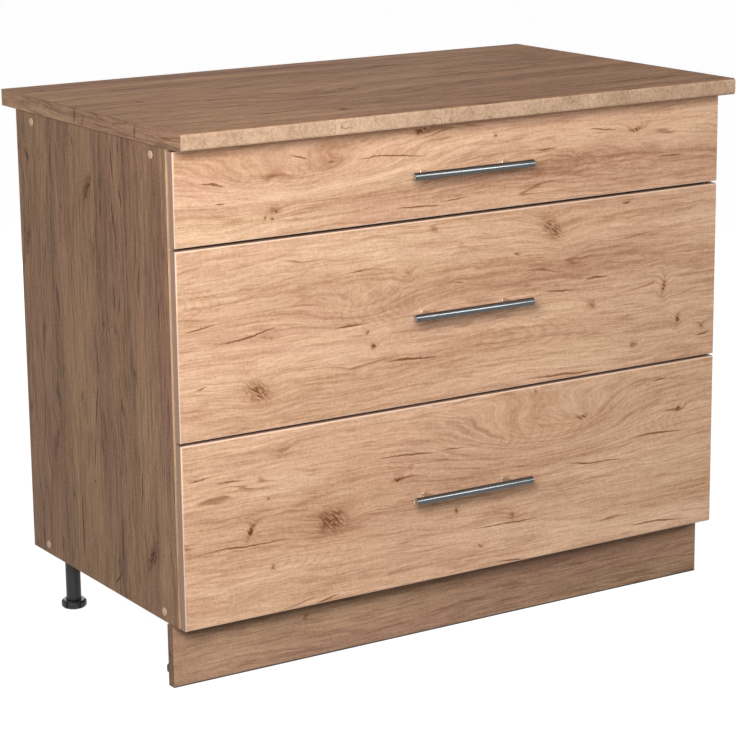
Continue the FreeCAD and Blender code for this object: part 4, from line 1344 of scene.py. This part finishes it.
def make_leg_plates(black):
    """Screwed-on plates with a socket for the tube, and ribs from the socket out."""
    root = LEG_PLATE_LOW + SINK
    ring = [
        (root, RING_RADIUS), (RING_LOW + RING_ARRIS, RING_RADIUS),
        (RING_LOW + RING_FLAT, RING_RADIUS - RING_FLAT), (RING_LOW, RING_RADIUS - RING_ARRIS),
        (RING_LOW, RING_BORE + RING_ARRIS), (RING_LOW + RING_ARRIS, RING_BORE), (root, RING_BORE),
        (root, RING_RADIUS)]
    bm = bmesh.new()
    for _, axis in leg_places():
        plate = bmesh.new()
        box(plate, (-PLATE_HALF, -PLATE_HALF, LEG_PLATE_LOW),
            (PLATE_HALF, PLATE_HALF, LEG_PLATE_LOW + PLATE_THICKNESS))
        upright = [edge for edge in plate.edges if near(edge.calc_length(), PLATE_THICKNESS)]
        bevel(plate, upright, PLATE_CORNER, segments=6)
        bevel(plate, edges_at(plate, lambda p: near(p.z, LEG_PLATE_LOW)), PLATE_ARRIS, segments=2)
        turned_shape(plate, ring, (0, 0, 0), (0, 0, 1), 48)
        for step in range(4):
            rib = box(plate, (RING_RADIUS - SINK, -RIB_HALF, RING_LOW + RIB_START),
                      (PLATE_HALF - RIB_CLEAR, RIB_HALF, root))
            for vert in rib:
                if vert.co.x > RING_RADIUS and vert.co.z < LEG_PLATE_LOW:
                    vert.co.z = LEG_PLATE_LOW - RIB_CLEAR
            turn = Matrix.Rotation(step * math.pi / 2, 3, "Z")
            bmesh.ops.rotate(plate, verts=rib, cent=(0, 0, 0), matrix=turn)
        bmesh.ops.translate(plate, verts=plate.verts, vec=axis)
        join_into(bm, plate)
    piece("leg_plate_mouldings", bm, "cabinet", [black], ["leg_plates"], SHARP_ANGLE)


CLIP_LOW = 0.042
CLIP_HIGH = 0.062
CLIP_BASE = 0.0025
CLIP_JAW = 0.0158
CLIP_SEAT = 0.0128
CLIP_MOUTH = -0.160
CLIP_HALF = 0.030
CLIP_CORNER = 0.004
CLIP_REACH = 0.010  # how far a cutting shape reaches past a jaw
JAW_SINK = 0.001  # how far a jaw starts inside its base
JAW_ROUNDING = 0.0015
MOUTH_NARROWING = 0.0008
MOUTH_START = 0.001  # behind the leg's axis
MOUTH_END = 0.030
CLIP_SCREW_PLACE = 0.024
CLIP_SCREW_RADIUS = 0.0034
CLIP_SCREW_HEIGHT = 0.0016
HEAD_DOME = ((0.0, 1.0), (0.25, 1.0), (0.7, 0.86), (0.95, 0.55), (1.0, 0.0))  # shares of height, radius
RECESS_FLOOR = 0.45  # a share of the head's height
RECESS_ARM = 0.55  # a share of its radius, as the next
RECESS_HALF = 0.13


def add_screw_head(bm, place, axis, radius, height):
    """A domed screw head on a face, with a crossed recess."""
    head = bmesh.new()
    profile = [(height * up, radius * away) for up, away in HEAD_DOME]
    turned_shape(head, profile, (0, 0, 0), (0, 0, 1), 24)
    bmesh.ops.holes_fill(head, edges=[edge for edge in head.edges if edge.is_boundary])
    bmesh.ops.remove_doubles(head, verts=head.verts, dist=HEAD_MERGE_DISTANCE)
    arm, half = radius * RECESS_ARM, radius * RECESS_HALF
    for x, y in ((arm, half), (half, arm)):
        cutter = bmesh.new()
        box(cutter, (-x, -y, height * RECESS_FLOOR), (x, y, height * 2))
        cut_away(head, cutter)
    turn = Vector(axis).to_track_quat("Z", "Y").to_matrix()
    bmesh.ops.rotate(head, verts=head.verts, cent=(0, 0, 0), matrix=turn)
    bmesh.ops.translate(head, verts=head.verts, vec=place)
    join_into(bm, head)


def make_clips(black, zinc):
    """Spring clips on the back of the plinth, each with two screws."""
    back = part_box("plinth_board")[1].y
    height = CLIP_HIGH - CLIP_LOW
    level = (CLIP_LOW + CLIP_HIGH) / 2
    mouth = CLIP_SEAT - MOUTH_NARROWING
    bm = bmesh.new()
    heads = bmesh.new()
    for name, axis in leg_places():
        if "front" not in name:
            continue
        clip = bmesh.new()
        box(clip, (axis.x - CLIP_HALF, back, CLIP_LOW), (axis.x + CLIP_HALF, back + CLIP_BASE, CLIP_HIGH))
        corners = [edge for edge in clip.edges if near(edge.calc_length(), CLIP_BASE)]
        bevel(clip, corners, CLIP_CORNER, segments=5)
        jaw = bmesh.new()
        verts = box(jaw, (axis.x - CLIP_JAW, back + JAW_SINK, CLIP_LOW),
                    (axis.x + CLIP_JAW, CLIP_MOUTH, CLIP_HIGH))
        tips = edges_of(verts, lambda p: near(p.y, CLIP_MOUTH))
        upright = [edge for edge in tips if near(edge.calc_length(), height)]
        bevel(jaw, upright, JAW_ROUNDING, segments=4)
        cutter = bmesh.new()
        made = bmesh.ops.create_cone(
            cutter, cap_ends=True, segments=48, radius1=CLIP_SEAT, radius2=CLIP_SEAT,
            depth=height + 2 * CLIP_REACH)["verts"]
        bmesh.ops.translate(cutter, verts=made, vec=(axis.x, axis.y, level))
        cut_away(jaw, cutter)
        cutter = bmesh.new()
        box(cutter, (axis.x - mouth, axis.y + MOUTH_START, CLIP_LOW - CLIP_REACH),
            (axis.x + mouth, axis.y + MOUTH_END, CLIP_HIGH + CLIP_REACH))
        cut_away(jaw, cutter)
        join_into(bm, clip)
        join_into(bm, jaw)
        for hand in (-1, 1):
            place = (axis.x + hand * CLIP_SCREW_PLACE, back + CLIP_BASE, level)
            add_screw_head(heads, place, (0, 1, 0), CLIP_SCREW_RADIUS, CLIP_SCREW_HEIGHT)
    piece("clip_mouldings", bm, "plinth", [black], ["plinth_clips"], SHARP_ANGLE)
    piece("clip_screw_heads", heads, "plinth", [zinc, black], sharp=SHARP_ANGLE)


BRACKET_GAUGE = 0.002
BRACKET_LEG = 0.025
BRACKET_PLACES = (-0.067, 0.063)
BRACKET_HALF = 0.017
BRACKET_CORNER = 0.004
OUTER_BEND = 0.0015
INNER_BEND = 0.0008


def make_brackets(zinc):
    """Bent angles that hold the worktop."""
    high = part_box("worktop_brackets")[1]
    top, wall = high.z, high.x
    outline = (
        (wall - BRACKET_LEG, top), (wall, top), (wall, top - BRACKET_LEG),
        (wall - BRACKET_GAUGE, top - BRACKET_LEG), (wall - BRACKET_GAUGE, top - BRACKET_GAUGE),
        (wall - BRACKET_LEG, top - BRACKET_GAUGE))
    bm = bmesh.new()
    for middle in BRACKET_PLACES:
        angle = bmesh.new()
        corners = [(x, middle - BRACKET_HALF, z) for x, z in outline]
        drawn_out(angle, corners, (0, 1, 0), BRACKET_HALF * 2)
        bends = [edge for edge in angle.edges if near(edge.calc_length(), BRACKET_HALF * 2)]
        outer, inner = (
            [edge for edge in bends
             if near(edge.verts[0].co.x, wall - inset) and near(edge.verts[0].co.z, top - inset)]
            for inset in (0.0, BRACKET_GAUGE))
        bevel(angle, outer, OUTER_BEND, segments=4)
        bevel(angle, inner, INNER_BEND, segments=3)
        ends = [edge for edge in angle.edges if near(edge.calc_length(), BRACKET_GAUGE)
                and near(edge.verts[0].co.y, edge.verts[1].co.y)]
        bevel(angle, ends, BRACKET_CORNER, segments=5)
        join_into(bm, angle)
    add_mirror_image(bm)
    piece("worktop_angles", bm, "cabinet", [zinc], ["worktop_brackets"], SHARP_ANGLE)


# Drawer slides

SIDE_INNER = 0.484  # a side panel's inner face, from the cabinet's middle
SHEET = 0.0012
SHEET_BEND = 0.0009
CABINET_CHANNEL = (0.0, 0.0110, 0.0225, 0.0024)  # its web, its open side, half its height, its lips
MIDDLE_CHANNEL = (0.0032, 0.0114, 0.0176, 0.0020)
DRAWER_CHANNEL = (0.0130, 0.0048, 0.0136, 0.0015)
CAGE_LENGTH = 0.200
CAGE_HALF = 0.0004
CAGE_SHARP_ANGLE = 50.0
CAGES = (  # where a strip starts, its two edges, and the lowest and highest level of its balls
    (-0.005, 0.0036, 0.0094, 0.0179, 0.0210), (-0.235, 0.0048, 0.0098, 0.0139, 0.0161))
BALLS = 14
FIRST_BALL = 0.006
BALL_ROW = 0.188  # from the first ball to the last


def both_sides(bm, level):
    """Lifts a left-hand shape to its height, and adds its mirror image on the right."""
    bmesh.ops.translate(bm, verts=bm.verts, vec=(0, 0, level))
    add_mirror_image(bm)
    bmesh.ops.recalc_face_normals(bm, faces=bm.faces)


def make_channel(name, web, open_side, half_height, lip):
    """A bent sheet channel on the left side of a drawer, at height 0."""
    low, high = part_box(name)
    inward = SHEET if open_side > web else -SHEET
    inner = half_height - SHEET
    upper = [
        (web + inward, inner), (open_side - inward, inner), (open_side - inward, inner - lip),
        (open_side, inner - lip), (open_side, half_height), (web, half_height)]
    corners = upper + [(away, -up) for away, up in reversed(upper)]
    bm = bmesh.new()
    drawn_out(bm, [(away - SIDE_INNER, low.y, up) for away, up in corners], (0, 1, 0), high.y - low.y)
    bends = [
        edge for edge in bm.edges
        if near(abs(edge.verts[0].co.y - edge.verts[1].co.y), high.y - low.y)
        and near(abs(edge.verts[0].co.z), half_height)]
    bevel(bm, bends, SHEET_BEND, segments=3)
    return bm


def make_ball_cages(drawer, middle, zinc, white):
    """Strips with a row of balls between the members."""
    bm = bmesh.new()
    for start, inner, outer, low, high in CAGES:
        for hand in (-1, 1):
            level = hand * (low + high) / 2
            box(bm, (inner - SIDE_INNER, start, level - CAGE_HALF),
                (outer - SIDE_INNER, start + CAGE_LENGTH, level + CAGE_HALF))
            for step in range(BALLS):
                y = start + FIRST_BALL + step * BALL_ROW / (BALLS - 1)
                ball = bmesh.ops.create_uvsphere(
                    bm, u_segments=8, v_segments=5, radius=(high - low) / 2)["verts"]
                bmesh.ops.translate(bm, verts=ball, vec=((inner + outer) / 2 - SIDE_INNER, y, level))
                for face in {face for vert in ball for face in vert.link_faces}:
                    face.material_index = 1
    both_sides(bm, middle)
    piece(drawer + "_slide_ball_strips", bm, "slides_" + drawer, [white, zinc],
          [drawer + "_slide_ball_cages"], CAGE_SHARP_ANGLE)


def make_slides(zinc, white):
    cabinet_members = bmesh.new()
    for drawer in DRAWERS:
        middle_members = drawer + "_slide_middle_members"
        low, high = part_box(middle_members)
        level = (low.z + high.z) / 2
        for name, body, sizes in (
                (middle_members, "slides_" + drawer, MIDDLE_CHANNEL),
                (drawer + "_slide_drawer_members", "drawer_" + drawer, DRAWER_CHANNEL)):
            bm = make_channel(name, *sizes)
            both_sides(bm, level)
            piece(name.replace("_members", "_channels"), bm, body, [zinc], [name],
                  SHARP_ANGLE)
        make_ball_cages(drawer, level, zinc, white)
        bm = make_channel("slide_cabinet_members", *CABINET_CHANNEL)
        both_sides(bm, level)
        join_into(cabinet_members, bm)
    piece("slide_cabinet_channels", cabinet_members, "cabinet", [zinc],
          ["slide_cabinet_members"], SHARP_ANGLE)


# Everything

make_camera()
make_floor()
make_sky()
make_lights()

back_face = plain_board("pale_backing", paint(214, 196, 172), paint(192, 172, 146), 0.5)
chipboard = plain_board("chipboard", paint(206, 178, 140), paint(150, 116, 82), 1.6, 600.0, 0.8)
side_oak = oak(
    "side_panel_oak", ("Z", "Y", "X"), SHADED_SIDE_OAK, (2.0, 5.0, 0.0), SIDE_KNOTS, SIDE_CRACKS, gloss=0.5)
side_band = oak("side_band_oak", ("Z", "X", "Y"), EDGE_OAK, (3.0, 7.0, 0.0), gloss=0.4)
top_oak = oak(
    "worktop_oak", ("X", "Y", "Z"), SHADED_TOP_OAK, (4.0, 9.0, 0.0), TOP_KNOTS, TOP_CRACKS, gloss=0.6, shine=0.05)
edge_oak = oak("worktop_edge_oak", ("Y", "X", "Z"), EDGE_OAK, (4.0, 9.0, 0.0))
end_oak = oak("worktop_end_oak", ("Y", "Z", "X"), SHADED_END_OAK, (6.0, 3.0, 0.0), cracks=END_CRACKS)
plinth_oak = oak("plinth_oak", ("X", "Z", "Y"), SHADED_PLINTH_OAK, (1.0, 6.0, 0.0))
plinth_end_oak = oak("plinth_end_oak", ("Z", "Y", "X"), SHADED_SIDE_OAK, (1.0, 6.0, 0.0), cracks=PLINTH_END_CRACKS)
cross_oak = oak("cross_board_oak", ("X", "Z", "Y"), INNER_OAK, (8.0, 2.0, 0.0), raw=(("Z", -1),))
long_oak = oak("long_board_oak", ("Y", "Z", "X"), INNER_OAK, (5.0, 12.0, 0.0), raw=(("Z", -1), ("Y", 1)))
shelf_oak = oak("level_board_oak", ("X", "Y", "Z"), INNER_OAK, (9.0, 4.0, 0.0), raw=(("Y", 1),))
back_hardboard = hardboard("back_hardboard", ("Y", 1))
drawer_hardboard = hardboard("drawer_hardboard", ("Z", -1))
# The bars' steel is far darker than bare steel: its colour is a painted dark reflection of dark surroundings
# that a bright bar would mirror.
painted_reflection_steel = metal("brushed_steel", (0.105, 0.108, 0.11, 1.0), 0.12, (8.0, 3000.0, 3000.0), 0.06)
bright_steel = metal("bright_steel", (0.62, 0.61, 0.59, 1.0), 0.20, (500.0, 500.0, 500.0), 0.06)
zinc = metal("zinc_plate", (0.50, 0.51, 0.52, 1.0), 0.34, (260.0, 260.0, 260.0), 0.16)
black = plastic("black_plastic", (0.0065, 0.0065, 0.006, 1.0), 0.5)
beige = plastic("beige_plastic", paint(192, 154, 126), 0.35)
white = plastic("white_plastic", paint(226, 226, 220), 0.35)
clear = plastic("clear_plastic", (0.7, 0.7, 0.7, 1.0), 0.2)
seal = plastic("seal_plastic", (0.05, 0.04, 0.035, 1.0), 0.5)
for node in ("bottom_panel", "top_rail_front", "top_rail_back"):
    dress(node, shelf_oak)
dress("back_panel", back_hardboard)
for node in ("back_panel_nails", "confirmat_screws", "small_screws"):
    dress(node, zinc)
for drawer in DRAWERS:
    dress(drawer + "_drawer_side_left", long_oak)
    dress(drawer + "_drawer_side_right", long_oak)
    dress(drawer + "_drawer_inner_front", cross_oak)
    dress(drawer + "_drawer_back", cross_oak)
    dress(drawer + "_drawer_bottom", drawer_hardboard)
    dress(drawer + "_drawer_screws", zinc)
make_drawer_fronts(back_face)
make_side_panel("side_left", -1, side_oak, side_band, chipboard)
make_side_panel("side_right", 1, side_oak, side_band, chipboard)
make_worktop(top_oak, edge_oak, end_oak, back_face, chipboard)
make_plinth(plinth_oak, plinth_end_oak, seal)
for drawer in DRAWERS:
    make_handle(drawer, painted_reflection_steel, bright_steel)
make_caps(beige)
make_pads(clear)
for name, axis in leg_places():
    make_foot(name, axis, black)
make_tubes(black)
make_leg_plates(black)
make_clips(black, zinc)
make_brackets(zinc)
make_slides(zinc, white)

view = bpy.context.scene.view_settings
view.view_transform = "Standard"
